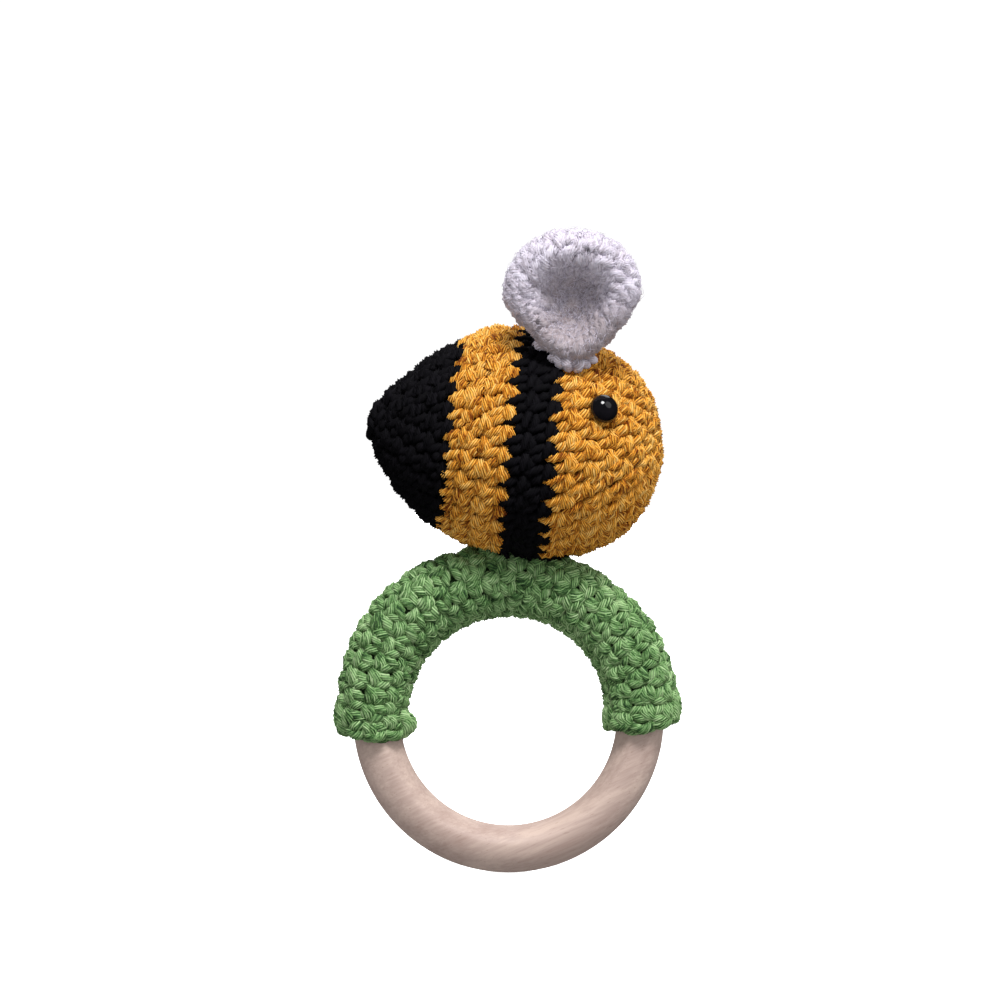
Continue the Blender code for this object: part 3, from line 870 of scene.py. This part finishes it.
SLEEVE_YARN = 1.18 * MM
SLEEVE_RELIEF = 0.62 * MM
SLEEVE_SHADE_SHEET_HEIGHT = -0.9 * MM  # height of the outside of the sleeve's sheet of painted shade
SLEEVE_PLAY = 0.2 * MM  # between the sleeve's sheet of painted shade and the wood
YARN_PLAY = 0.15 * MM  # between the stitches and the wood
SLEEVE_ROWS = 9
SLEEVE_STITCHES = 26
SLEEVE_ROW_START = math.radians(193)  # roll where the first row starts
SLEEVE_MIDDLE = (SLEEVE_START + SLEEVE_END) / 2
SQUARE_ENDS = 0.045  # the sleeve is shorter by this share round the outside of the ring
SLACK, SLACK_AT, SLACK_SPREAD = 1.5 * MM, math.radians(135), math.radians(32)
FLARE, FLARE_SPREAD = 1.3 * MM, math.radians(24)


def sleeve_swell(across, roll):
    """How much further out the sleeve stands where it's slack, and where its end flares."""
    outer = np.maximum(0.0, np.cos(roll))
    inner = np.maximum(0.0, -np.cos(roll))
    slack = SLACK * bulge(across, SLACK_AT, SLACK_SPREAD)
    flare = FLARE * bulge(across, SLEEVE_START, FLARE_SPREAD)
    return slack * outer + flare * inner


def sleeve_place(across, along, height):
    """Points on the sleeve: across is an angle round the ring, along the roll since the first row."""
    roll = SLEEVE_ROW_START - along
    # The ends are worked square, so they are shorter round the outside of the ring.
    shortened = 1.0 - SQUARE_ENDS * np.maximum(0.0, np.cos(roll))
    across = SLEEVE_MIDDLE + (across - SLEEVE_MIDDLE) * shortened
    reach = SLEEVE_SURFACE - SLEEVE_YARN - SLEEVE_RELIEF + height + sleeve_swell(across, roll)
    return on_tube(across, roll, SLEEVE_MEAN_RADIUS, reach)


def add_sleeve_shade_sheet(mesh):
    """The inside of the sleeve, which lies round the wood, coloured all in painted shade."""
    across, along = grid_round(np.linspace(SLEEVE_START, SLEEVE_END, 120), SHADE_SHEET_COLUMNS)
    outside = sleeve_place(across, along, SLEEVE_SHADE_SHEET_HEIGHT)[0]
    bore = RING_SECTION_RADIUS + SLEEVE_PLAY
    inside = on_tube(across, SLEEVE_ROW_START - along, RING_MEAN_RADIUS, bore)[0]
    add_shell(mesh, outside, inside)


# A turning loop at the sleeve's end: (place along the row's height, place past the end in
# pitches, height in reliefs). The second layer lies deeper, half a row on.
EDGE_LOOP = np.array(
    (
        (0.02, -0.10, -0.7), (0.20, 0.10, 0.4), (0.50, 0.20, 0.9), (0.80, 0.10, 0.4),
        (0.98, -0.10, -0.7),
    )
)
EDGE_DROPS = (0.1 * MM, 1.7 * MM)
LOOP_RINGS = 12


def add_sleeve_edges(mesh, height, pitch):
    """The turning loops at both ends: a fat strand that closes each row, in two layers."""
    for end, way in ((SLEEVE_START, -1), (SLEEVE_END, 1)):
        for layer, drop in enumerate(EDGE_DROPS):
            starts = height * (np.arange(SLEEVE_ROWS)[:, None] + 0.5 * layer)
            drift = rng.normal(0.0, 0.05, (2, SLEEVE_ROWS, 1))
            along = starts + height * (EDGE_LOOP[:, 0] + drift[0])
            across = end + way * pitch * (EDGE_LOOP[:, 1] + drift[1])
            points, normals = sleeve_place(across, along, SLEEVE_RELIEF * EDGE_LOOP[:, 2] - drop)
            add_route(mesh, points, normals, SLEEVE_YARN * 1.02, LOOP_RINGS)


# A slack loop: (millimetres inward from the sleeve's end, share of the loop's rise), and
# its three strands: (degrees round the sleeve, share of the rise).
LOBE = np.array(((5.8, -0.7), (4.4, 0.45), (2.6, 0.95), (0.9, 0.85), (-0.3, 0.1), (-0.2, -0.8)))
LOBE_STRANDS = np.array(((-20.0, 0.8), (-3.0, 1.0), (14.0, 0.75)))


def add_end_lobe(mesh, end, inward, roll, rise):
    """A slack loop at a corner of the sleeve's end; roll is in degrees and rise in millimetres."""
    turns = np.radians(roll + LOBE_STRANDS[:, :1])
    across = end + inward * LOBE[:, 0] * MM / SLEEVE_MEAN_RADIUS
    lift = MM * rise * LOBE[:, 1] * LOBE_STRANDS[:, 1:]
    points, normals = sleeve_place(across, (SLEEVE_ROW_START - turns) % TAU, lift)
    add_route(mesh, points, normals, SLEEVE_YARN * 1.15, LOOP_RINGS)


def make_sleeve():
    """Rows of stitches that run lengthwise along the ring, and the loops that edge both ends."""
    mesh = Mesh()
    height = TAU / SLEEVE_ROWS
    pitch = (SLEEVE_END - SLEEVE_START) / SLEEVE_STITCHES
    rows = []
    for i in range(SLEEVE_ROWS):
        shift = 0.5 + 0.22 * (-1) ** i
        rows.append(Row(height * i, height, SLEEVE_START + pitch * shift, pitch, SLEEVE_STITCHES))
    add_stitches(mesh, sleeve_place, rows, SLEEVE_RELIEF, SLEEVE_YARN, FAN_LEGS, wobble=1.5)
    add_sleeve_edges(mesh, height, pitch)
    add_end_lobe(mesh, SLEEVE_END, -1, 178, 2.3)
    add_end_lobe(mesh, SLEEVE_END, -1, 8, 0.9)
    add_end_lobe(mesh, SLEEVE_START, 1, 6, 0.8)
    add_end_lobe(mesh, SLEEVE_START, 1, 172, 0.7)
    keep = RING_SECTION_RADIUS + YARN_PLAY
    mesh.points = [pushed_out(points, RING_MEAN_RADIUS, keep) for points in mesh.points]
    add_sleeve_shade_sheet(mesh)
    placed(mesh.build("ring_sleeve_crochet", GREEN), "sleeve", ["ring_sleeve"])


make_sleeve()

SEAM_ROLL = math.radians(205)
SEAM_YARN = 0.42 * MM
SEAM_STITCHES = 44
SEAM_MARGIN = math.radians(2)
SEAM_SLANT = math.radians(5)  # round the ring
SEAM_SPAN = math.radians(15)  # half of a stitch, round the sleeve
SEAM_RISE = 0.9 * MM
# A whip stitch: (place round the sleeve in spans, place round the ring in slants, rise).
WHIP_STITCH = np.array(
    (
        (-0.9, -0.20, -1.0), (-0.5, -0.15, 0.35), (0.0, 0.0, 0.75), (0.5, 0.15, 0.35),
        (0.9, 0.20, -1.0),
    )
)


def make_sleeve_seam():
    """Slanting whip stitches that close the sleeve on its inner, rear side."""
    starts = np.linspace(SLEEVE_START + SEAM_MARGIN, SLEEVE_END - SEAM_MARGIN, SEAM_STITCHES)[:, None]
    across = starts + SEAM_SLANT * WHIP_STITCH[:, 1] + rng.normal(0.0, 0.004, (SEAM_STITCHES, 1))
    along = SLEEVE_ROW_START - SEAM_ROLL + TAU + SEAM_SPAN * WHIP_STITCH[:, 0]
    lift = SLEEVE_RELIEF + SLEEVE_YARN - SEAM_YARN + SEAM_RISE * WHIP_STITCH[:, 2]
    points, normals = sleeve_place(across, along, lift)
    mesh = Mesh()
    add_route(mesh, points, normals, SEAM_YARN, LOOP_RINGS, lead=2.4 * MM, plies=4)
    placed(mesh.build("sleeve_seam_stitches", GREEN), "sleeve", ["sleeve_seam_yarn"])


make_sleeve_seam()

JOINING_MIDDLE = math.radians(84.4)
JOINING_HALF_LENGTH = math.radians(17.5)
JOINING_SIDE = math.radians(64)
JOINING_YARN = 0.6 * MM
JOINING_LOOPS = 32
# A loop: (place round the sewn patch in loops, share of the patch's width, millimetres off
# the sleeve).
JOINING_LOOP = np.array(
    (
        (-0.7, 0.78, -0.9), (-0.45, 0.77, 0.0), (0.0, 0.73, 0.4), (0.45, 0.68, 0.7),
        (0.7, 0.64, 0.6),
    )
)


def joining_point(way, spread, rise):
    """A point by the sewing round: spread widens the round, and rise lifts it off the sleeve."""
    angle = JOINING_MIDDLE - JOINING_HALF_LENGTH * spread * np.cos(way)
    roll = JOINING_SIDE * spread * np.sin(way)
    return on_tube(angle, roll, SLEEVE_MEAN_RADIUS, SLEEVE_SURFACE + rise)


def make_joining_stitches():
    """Slanting loops of black yarn that sew the bee down, in the groove between it and the sleeve."""
    mesh = Mesh()
    starts = (TAU * np.arange(JOINING_LOOPS) / JOINING_LOOPS)[:, None]
    drift = rng.normal(0.0, 0.03, (JOINING_LOOPS, 1))
    way = starts + drift + TAU / JOINING_LOOPS * JOINING_LOOP[:, 0]
    points, normals = joining_point(way, JOINING_LOOP[:, 1] + drift, MM * JOINING_LOOP[:, 2])
    add_route(mesh, points, normals, JOINING_YARN, LOOP_RINGS, lead=3.2 * MM, plies=5)
    piece = mesh.build("joining_stitches", BLACK)
    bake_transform(piece)
    placed(piece, None, ["joining_yarn"])


make_joining_stitches()


# ---------------------------------------------------------------- tail knot

KNOT_SIZE = np.array([0.9, 0.8, 0.5]) * MM
KNOT_CENTRE = np.array([-1.0 * MM, 0.0, TAIL_END - 0.9 * MM])
KNOT_YARN = 0.95 * MM


def make_tail_knot():
    """The fastened-off end of the black yarn: an overhand knot drawn tight on the blunt tail."""
    turn = np.linspace(0.0, TAU, 49)[None]
    x = np.sin(turn) + 2 * np.sin(2 * turn)
    y = np.cos(turn) - 2 * np.cos(2 * turn)
    trefoil = np.stack([x, y, -np.sin(3 * turn)], axis=-1)
    points = in_world(BODY_POSE, trefoil * KNOT_SIZE + KNOT_CENTRE)
    normals = np.broadcast_to(turned_by(BODY_POSE, np.array([0.0, 0.0, -1.0])), points.shape)
    mesh = Mesh()
    add_strands(mesh, points, normals, np.full(points.shape[:2], KNOT_YARN))
    placed(mesh.build("tail_knot_yarn", BLACK), "bee", ["tail_knot"])


make_tail_knot()


# ---------------------------------------------------------------- eyes


def eye_pose(side):
    """Frame on the head's surface with Z pointing out; side is -1 near and +1 far."""
    step = 0.1 * MM
    radius, ahead, behind = (float(body_radius(np.array(EYE_STATION + d))) for d in (0.0, step, -step))
    slope = (ahead - behind) / (2 * step)
    spoke = Vector((-math.sin(EYE_RISE), side * math.cos(EYE_RISE), 0.0))
    out = (spoke - Vector((0.0, 0.0, slope))).normalized()
    place = spoke * radius + Vector((0.0, 0.0, EYE_STATION))
    turn_out = Vector((0.0, 0.0, 1.0)).rotation_difference(out).to_matrix().to_4x4()
    return BODY_POSE @ Matrix.Translation(place) @ turn_out


def turned_mesh(outline, steps):
    """A closed Mesh turned from (radius, height) points that run from the bottom up."""
    radius, turn = grid_round([point[0] for point in outline], steps)
    height = grid_round([point[1] for point in outline], steps)[0]
    mesh = Mesh()
    mesh.add_grid(np.stack([radius * np.cos(turn), radius * np.sin(turn), height], axis=-1))
    return mesh


EYE_LIFT = 0.7 * MM  # the dome stands on top of the stitches, this far off the CAD skin
EYE_RIM = 0.25 * MM
DOME_RADIUS = EYE_RADIUS + 0.3 * MM
DOME_HEIGHT = EYE_HEIGHT + 0.4 * MM
DOME_STEPS = 24
RIM_STEPS = 4
STEM_RIBS = 6
RIB_PITCH = 1.1 * MM
RIB_GROOVE = 0.15 * MM


def eye_outline():
    """(radius, height) points of the ribbed stem, the rolled rim and the dome."""
    outline = [(0.5 * MM, -STEM_LENGTH), (STEM_RADIUS, -STEM_LENGTH + 1.0 * MM)]
    for i in range(STEM_RIBS):
        rib = -STEM_LENGTH + 1.5 * MM + i * RIB_PITCH
        outline.append((STEM_RADIUS, rib))
        outline.append((STEM_RADIUS - RIB_GROOVE, rib + 0.4 * MM))
        outline.append((STEM_RADIUS, rib + 0.8 * MM))
    outline += [(STEM_RADIUS, EYE_LIFT), (DOME_RADIUS - EYE_RIM, EYE_LIFT)]
    rim_height = EYE_LIFT + EYE_RIM
    quarter = math.pi / 2
    for i in range(1, RIM_STEPS + 1):
        turn = -quarter + quarter * i / RIM_STEPS
        radius = DOME_RADIUS - EYE_RIM + EYE_RIM * math.cos(turn)
        outline.append((radius, rim_height + EYE_RIM * math.sin(turn)))
    for i in range(1, DOME_STEPS):
        turn = quarter * i / DOME_STEPS
        height = rim_height + (DOME_HEIGHT - EYE_RIM) * math.sin(turn)
        outline.append((DOME_RADIUS * math.cos(turn), height))
    outline.append((0.02 * MM, EYE_LIFT + DOME_HEIGHT))
    return outline


def make_eyes():
    """Domed safety eyes with a rolled rim and a ribbed stem."""
    for word, side in SIDES:
        piece = turned_mesh(eye_outline(), 64).build(f"{word}_eye_dome", EYE_PLASTIC)
        piece.matrix_world = eye_pose(side)
        placed(piece, "bee", [f"{word}_eye"])


make_eyes()


# ---------------------------------------------------------------- wings

WING_YARN = 1.4 * MM
WING_RELIEF = 0.28 * MM
WING_STITCH = 4.4 * MM
WING_ROWS = 9
WING_REACH = 13.7 * MM  # the furthest that the wing's yarn runs from the wing's middle
WING_MARGIN = 0.2 * MM
WING_NARROWING = 0.42  # the wing is sewn on gathered, so its foot is narrower by this share
WING_FLATTENING = 0.05  # how much lower the top of its outline is than a circle
HOLLOW_ARC = 16.0 * MM  # from the middle of the hollow to the top of the brim
HOLLOW_DROP = 2.6 * MM
HOLLOW_SHADE, HOLLOW_FADE = 0.72, 10.0 * MM
FOOT_SHADE = 0.85
CORE_DEPTH = 0.8 * MM
# how much painted shade colours the wing's core
CORE_CREASE = 0.8
FUZZ_COUNT = 3500
FUZZ_RADIUS = 0.06 * MM
# Half of a wing cut through its middle, from the bottom of the hollow over the soft brim to
# the middle of the back: (distance from the middle, height towards the outside) of the yarn.
WING_SECTION = (
    (0.0, -7.2), (3.6, -6.9), (6.5, -5.4), (8.6, -2.8), (10.2, -0.6), (11.9, 0.2), (13.3, -0.9),
    (13.9, -3.2), (13.1, -5.8), (10.2, -8.2), (5.6, -9.8), (0.0, -10.2),
)


def wing_outline():
    """The wing's outline from the bottom of its hollow to the middle of its back."""
    radii, levels = smooth_curve(np.array(WING_SECTION)[None] * MM, 400)[0].T
    steps = -np.gradient(levels), -np.gradient(radii)
    return Outline(arc_lengths(radii, levels), levels, radii, *steps)


WING = wing_outline()


def wing_pose(side):
    centre = Vector((WING_CENTRE.x, -side * WING_CENTRE.y, WING_CENTRE.z))
    return Matrix.Translation(centre) @ Matrix.Rotation(-side * (math.radians(90) + WING_LEAN), 4, "X")


def wing_place(side):
    """The place function of one wing: across is an angle from +X towards the wing's top."""
    pose = wing_pose(side)

    def place(across, along, height):
        along = np.clip(along, WING_MARGIN, WING.length - WING_MARGIN)
        level, radius, slope_z, slope_r = WING.at(along)
        reach = np.maximum(radius + height * slope_r, LEAST_REACH)
        x, up = reach * np.cos(across), reach * np.sin(across)
        # The hollow hangs towards the foot, so that the brim is widest at the top.
        inside = np.clip((HOLLOW_ARC - along) / HOLLOW_ARC, 0.0, 1.0)
        up = up - HOLLOW_DROP * inside * (2.0 - inside)
        up = up * (1.0 - WING_FLATTENING * np.clip(np.sin(across), 0.0, 1.0))
        x = x * (1.0 - WING_NARROWING * np.clip(-up / WING_REACH, 0.0, 1.0))
        local = np.stack([x, -side * up, level + height * slope_z], axis=-1)
        normal = np.stack([slope_r * np.cos(across), -side * slope_r * np.sin(across), slope_z], axis=-1)
        return in_world(pose, local), turned_by(pose, normal)

    return place


def add_core(mesh, place, side):
    """A closed core under the wing's stitches, coloured in painted shade."""
    along, across = grid_round(np.linspace(0.0, WING.length, 28), 72)
    # The two wings mirror each other, so their cores are laid out in opposite ways round.
    mesh.add_grid(place(side * across, along, -CORE_DEPTH)[0], CORE_CREASE)


def wing_shade(across, along):
    """Little light comes to the bottom of the hollow, and less to the wing's foot."""
    hollow = HOLLOW_SHADE * np.clip((HOLLOW_ARC - along) / HOLLOW_FADE, 0.0, 1.0)
    foot = FOOT_SHADE * np.clip(0.3 - 1.3 * np.sin(across), 0.0, 1.0)
    return np.maximum(hollow, foot)


def add_fuzz(mesh, place):
    """Loose fibre ends that stand out of brushed yarn, bent at random."""
    one_each = (FUZZ_COUNT, 1)
    along = rng.uniform(0.05, 0.95, one_each) * WING.length
    across = rng.uniform(0.0, TAU, one_each)
    steps = np.array([0.0, 0.3, 0.6, 1.0])
    reach = rng.uniform(0.8, 2.2, one_each) * MM
    way = rng.uniform(0.0, TAU, one_each) + rng.normal(0.0, 0.9, one_each) * steps
    sweep = reach * steps
    radius = np.maximum(WING.radius_at(along), 2.0 * MM)
    rise = reach * rng.uniform(0.1, 0.55, one_each) * np.sqrt(steps)
    lift = WING_RELIEF + WING_YARN * 0.7 + rise
    points, normals = place(across + sweep * np.cos(way) / radius, along + sweep * np.sin(way), lift)
    radii = FUZZ_RADIUS * np.array([1.0, 1.0, 0.8, 0.4])
    add_route(mesh, points, normals, radii, 4, plies=2, valley=0.0)


def make_wing(word, side):
    """A soft cup worked in rounds from the bottom of its hollow over the brim to its back."""
    mesh = Mesh()
    place = wing_place(side)
    height = WING.length / WING_ROWS
    rows = []
    for i in range(WING_ROWS):
        count = max(5, round(TAU * WING.radius_at(height * (i + 0.6)) / WING_STITCH))
        rows.append(Row(height * i, height, 0.45 * i * TAU / count, TAU / count, count))
    add_stitches(
        mesh, place, rows, WING_RELIEF, WING_YARN, BODY_LEGS, 1.8, wing_shade, depth=0.3
    )
    add_fuzz(mesh, place)
    add_core(mesh, place, side)
    piece = mesh.build(f"{word}_wing_crochet", WHITE)
    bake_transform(piece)
    placed(piece, None, [f"{word}_wing"])


LEAST_SEWN_WIDTH = 7.0 * MM  # the sewing keeps this far from the top of the back
SEWING_LOOPS = 10
SEWN_FROM, SEWN_TO = -130.0, -67.0  # degrees round the wing
SEWING_SLANT = math.radians(14)
# A loop: (place round the wing in slants, millimetres away from the wing's middle, rise).
SEWING_LOOP = np.array(
    (
        (-0.35, -2.6, 0.6), (-0.2, -1.4, 1.7), (0.0, -0.3, 2.1), (0.2, 0.7, 1.4),
        (0.35, 1.3, -0.9),
    )
)


def make_wing_sewing(word, side):
    """Uneven white loops that sew a wing's foot down to the body's stitches."""
    one_each = (SEWING_LOOPS, 1)
    angle = np.linspace(SEWN_FROM, SEWN_TO, SEWING_LOOPS) + rng.normal(0.0, 2.0, SEWING_LOOPS)
    drift = rng.normal(0.0, 0.55, one_each)
    reach = WING_RADIUS - 0.6 * MM + MM * (SEWING_LOOP[:, 1] + drift)
    slant = SEWING_SLANT * SEWING_LOOP[:, 0] * rng.choice((-1.0, 1.0), one_each)
    turn = np.radians(angle)[:, None] + slant
    narrow = 1.0 - WING_NARROWING * np.clip(-np.sin(turn), 0.0, 1.0)
    x = WING_CENTRE.x + reach * np.cos(turn) * narrow
    z = WING_CENTRE.z + reach * np.sin(turn)
    local = in_world(BODY_POSE.inverted(), np.stack([x, np.zeros_like(x), z], axis=-1))
    surface = body_radius(local[..., 2]) + SKIN_RISE + 0.7 * MM * SEWING_LOOP[:, 2]
    width = np.sqrt(np.maximum(surface**2 - local[..., 0] ** 2, LEAST_SEWN_WIDTH**2))
    local[..., 1] = side * width
    normals = turned_by(BODY_POSE, unit(local * np.array([1.0, 1.0, 0.0])))
    mesh = Mesh()
    thickness = WING_YARN * rng.uniform(0.62, 0.9, one_each)
    add_route(mesh, in_world(BODY_POSE, local), normals, thickness, 14)
    placed(mesh.build(f"{word}_wing_sewing", WHITE), "bee", [f"{word}_wing_stitches"])


for word, side in SIDES:
    make_wing(word, side)
    make_wing_sewing(word, side)


# ---------------------------------------------------------------- filling


def make_filling():
    """Wads of loose polyester that fill the body round the rattle ball."""
    lumps = bpy.data.textures.new("wadding_lumps", "CLOUDS")
    lumps.noise_scale = 5.0 * MM
    lumps.noise_depth = 3
    for node in ("stuffing_rear", "stuffing_front"):
        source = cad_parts[node]
        piece = add_object(node + "_wadding", source.data.copy())
        piece.matrix_world = source.matrix_world.copy()
        remesh = piece.modifiers.new("even", "REMESH")
        remesh.mode = "VOXEL"
        remesh.voxel_size = 0.9 * MM
        ruffle = piece.modifiers.new("ruffle", "DISPLACE")
        ruffle.texture = lumps
        ruffle.mid_level = 1.0
        ruffle.strength = 1.2 * MM
        graph = bpy.context.evaluated_depsgraph_get()
        wad = bpy.data.meshes.new_from_object(piece.evaluated_get(graph))
        piece.modifiers.clear()
        piece.data = wad
        wad.materials.clear()
        wad.materials.append(WADDING)
        wad.polygons.foreach_set("use_smooth", np.ones(len(wad.polygons), bool))
        placed(piece, "bee", [node])


make_filling()


# ---------------------------------------------------------------- carried-over CAD nodes


def carried_over():
    finishes = {
        "near_eye_washer": MILKY_PLASTIC,
        "far_eye_washer": MILKY_PLASTIC,
        "rattle_shell_rear": MILKY_PLASTIC,
        "rattle_shell_front": MILKY_PLASTIC,
    }
    for number in range(1, 7):
        finishes[f"rattle_bead_{number}"] = STEEL
    for node, material in finishes.items():
        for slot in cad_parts[node].material_slots:
            slot.material = material


carried_over()


# ---------------------------------------------------------------- stage, light and camera

VIEW_WIDTH = 225.1 * MM  # what the camera's frame spans at the object
VIEW_CENTRE = Vector((-1.9 * MM, 0.0, 78.5 * MM))
CAMERA_DISTANCE = 2.0
SENSOR = 36.0
DOME_LIGHT = 0.65
GROUND_LIGHT = 0.62


def make_floor():
    shader = Shader(
        "white_floor",
        Specular_IOR_Level=0.1,
        Emission_Color=(1.0, 1.0, 1.0, 1.0),
        Emission_Strength=0.7,
    )
    clouds = shader.noise(shader.place(), 3.0)
    colour = shader.ramp(clouds, ((0.3, srgb(247, 247, 248)), (0.7, srgb(250, 250, 251))))
    material = shader.finish(colour, 0.9)
    bpy.ops.mesh.primitive_plane_add(size=400.0, location=(0.0, 0.0, FLOOR_HEIGHT - 0.2 * MM))
    floor = bpy.context.object
    floor.name = "floor"
    floor.data.materials.append(material)
    # The floor is only a white ground with a shadow: it throws no light up and isn't mirrored.
    floor.visible_diffuse = False
    floor.visible_glossy = False


def make_light(name, azimuth, elevation, spread, strength):
    """A large soft source far away; azimuth 0 is behind the camera and 90 on its right."""
    data = bpy.data.lights.new(name, "SUN")
    data.angle = math.radians(spread)
    data.energy = strength
    light = add_object(name, data)
    turn, rise = math.radians(azimuth), math.radians(elevation)
    back = Vector((math.sin(turn) * math.cos(rise), -math.cos(turn) * math.cos(rise), math.sin(rise)))
    light.rotation_euler = (-back).to_track_quat("-Z", "Y").to_euler()


def make_world():
    """A white band round the horizon, which the level camera sees, between a dim sky and ground."""
    world = bpy.data.worlds.new("studio")
    bpy.context.scene.world = world
    world.use_nodes = True
    nodes, links = world.node_tree.nodes, world.node_tree.links
    direction = nodes.new("ShaderNodeTexCoord").outputs["Generated"]
    parts = nodes.new("ShaderNodeSeparateXYZ")
    links.new(direction, parts.inputs[0])
    height = nodes.new("ShaderNodeMapRange")
    height.inputs["From Min"].default_value = -1.0
    links.new(parts.outputs["Z"], height.inputs["Value"])
    ramp = nodes.new("ShaderNodeValToRGB")
    links.new(height.outputs["Result"], ramp.inputs["Fac"])
    elements = ramp.color_ramp.elements
    elements.new(0.5)
    elements.new(0.5)
    stops = ((0.46, GROUND_LIGHT), (0.48, 1.05), (0.55, 1.05), (0.61, DOME_LIGHT))
    for element, (position, level) in zip(elements, stops):
        element.position = position
        element.color = (level, level, level, 1.0)
    background = nodes["Background"]
    links.new(ramp.outputs["Color"], background.inputs["Color"])
    background.inputs["Strength"].default_value = 1.0
    world.cycles_visibility.glossy = False


def make_camera():
    data = bpy.data.cameras.new("camera")
    data.sensor_width = SENSOR
    data.lens = SENSOR * CAMERA_DISTANCE / VIEW_WIDTH
    data.clip_start, data.clip_end = 0.05, 60.0
    camera = add_object("camera", data)
    camera.location = VIEW_CENTRE - Vector((0.0, CAMERA_DISTANCE, 0.0))
    camera.rotation_euler = (math.radians(90), 0.0, 0.0)
    bpy.context.scene.camera = camera


make_floor()
make_world()
make_light("key", 10, 54, 20, 3.5)
make_light("fill", 55, 35, 40, 0.6)
make_light("rim", 170, 55, 40, 0.9)
make_camera()
bpy.context.scene.view_settings.view_transform = "Standard"
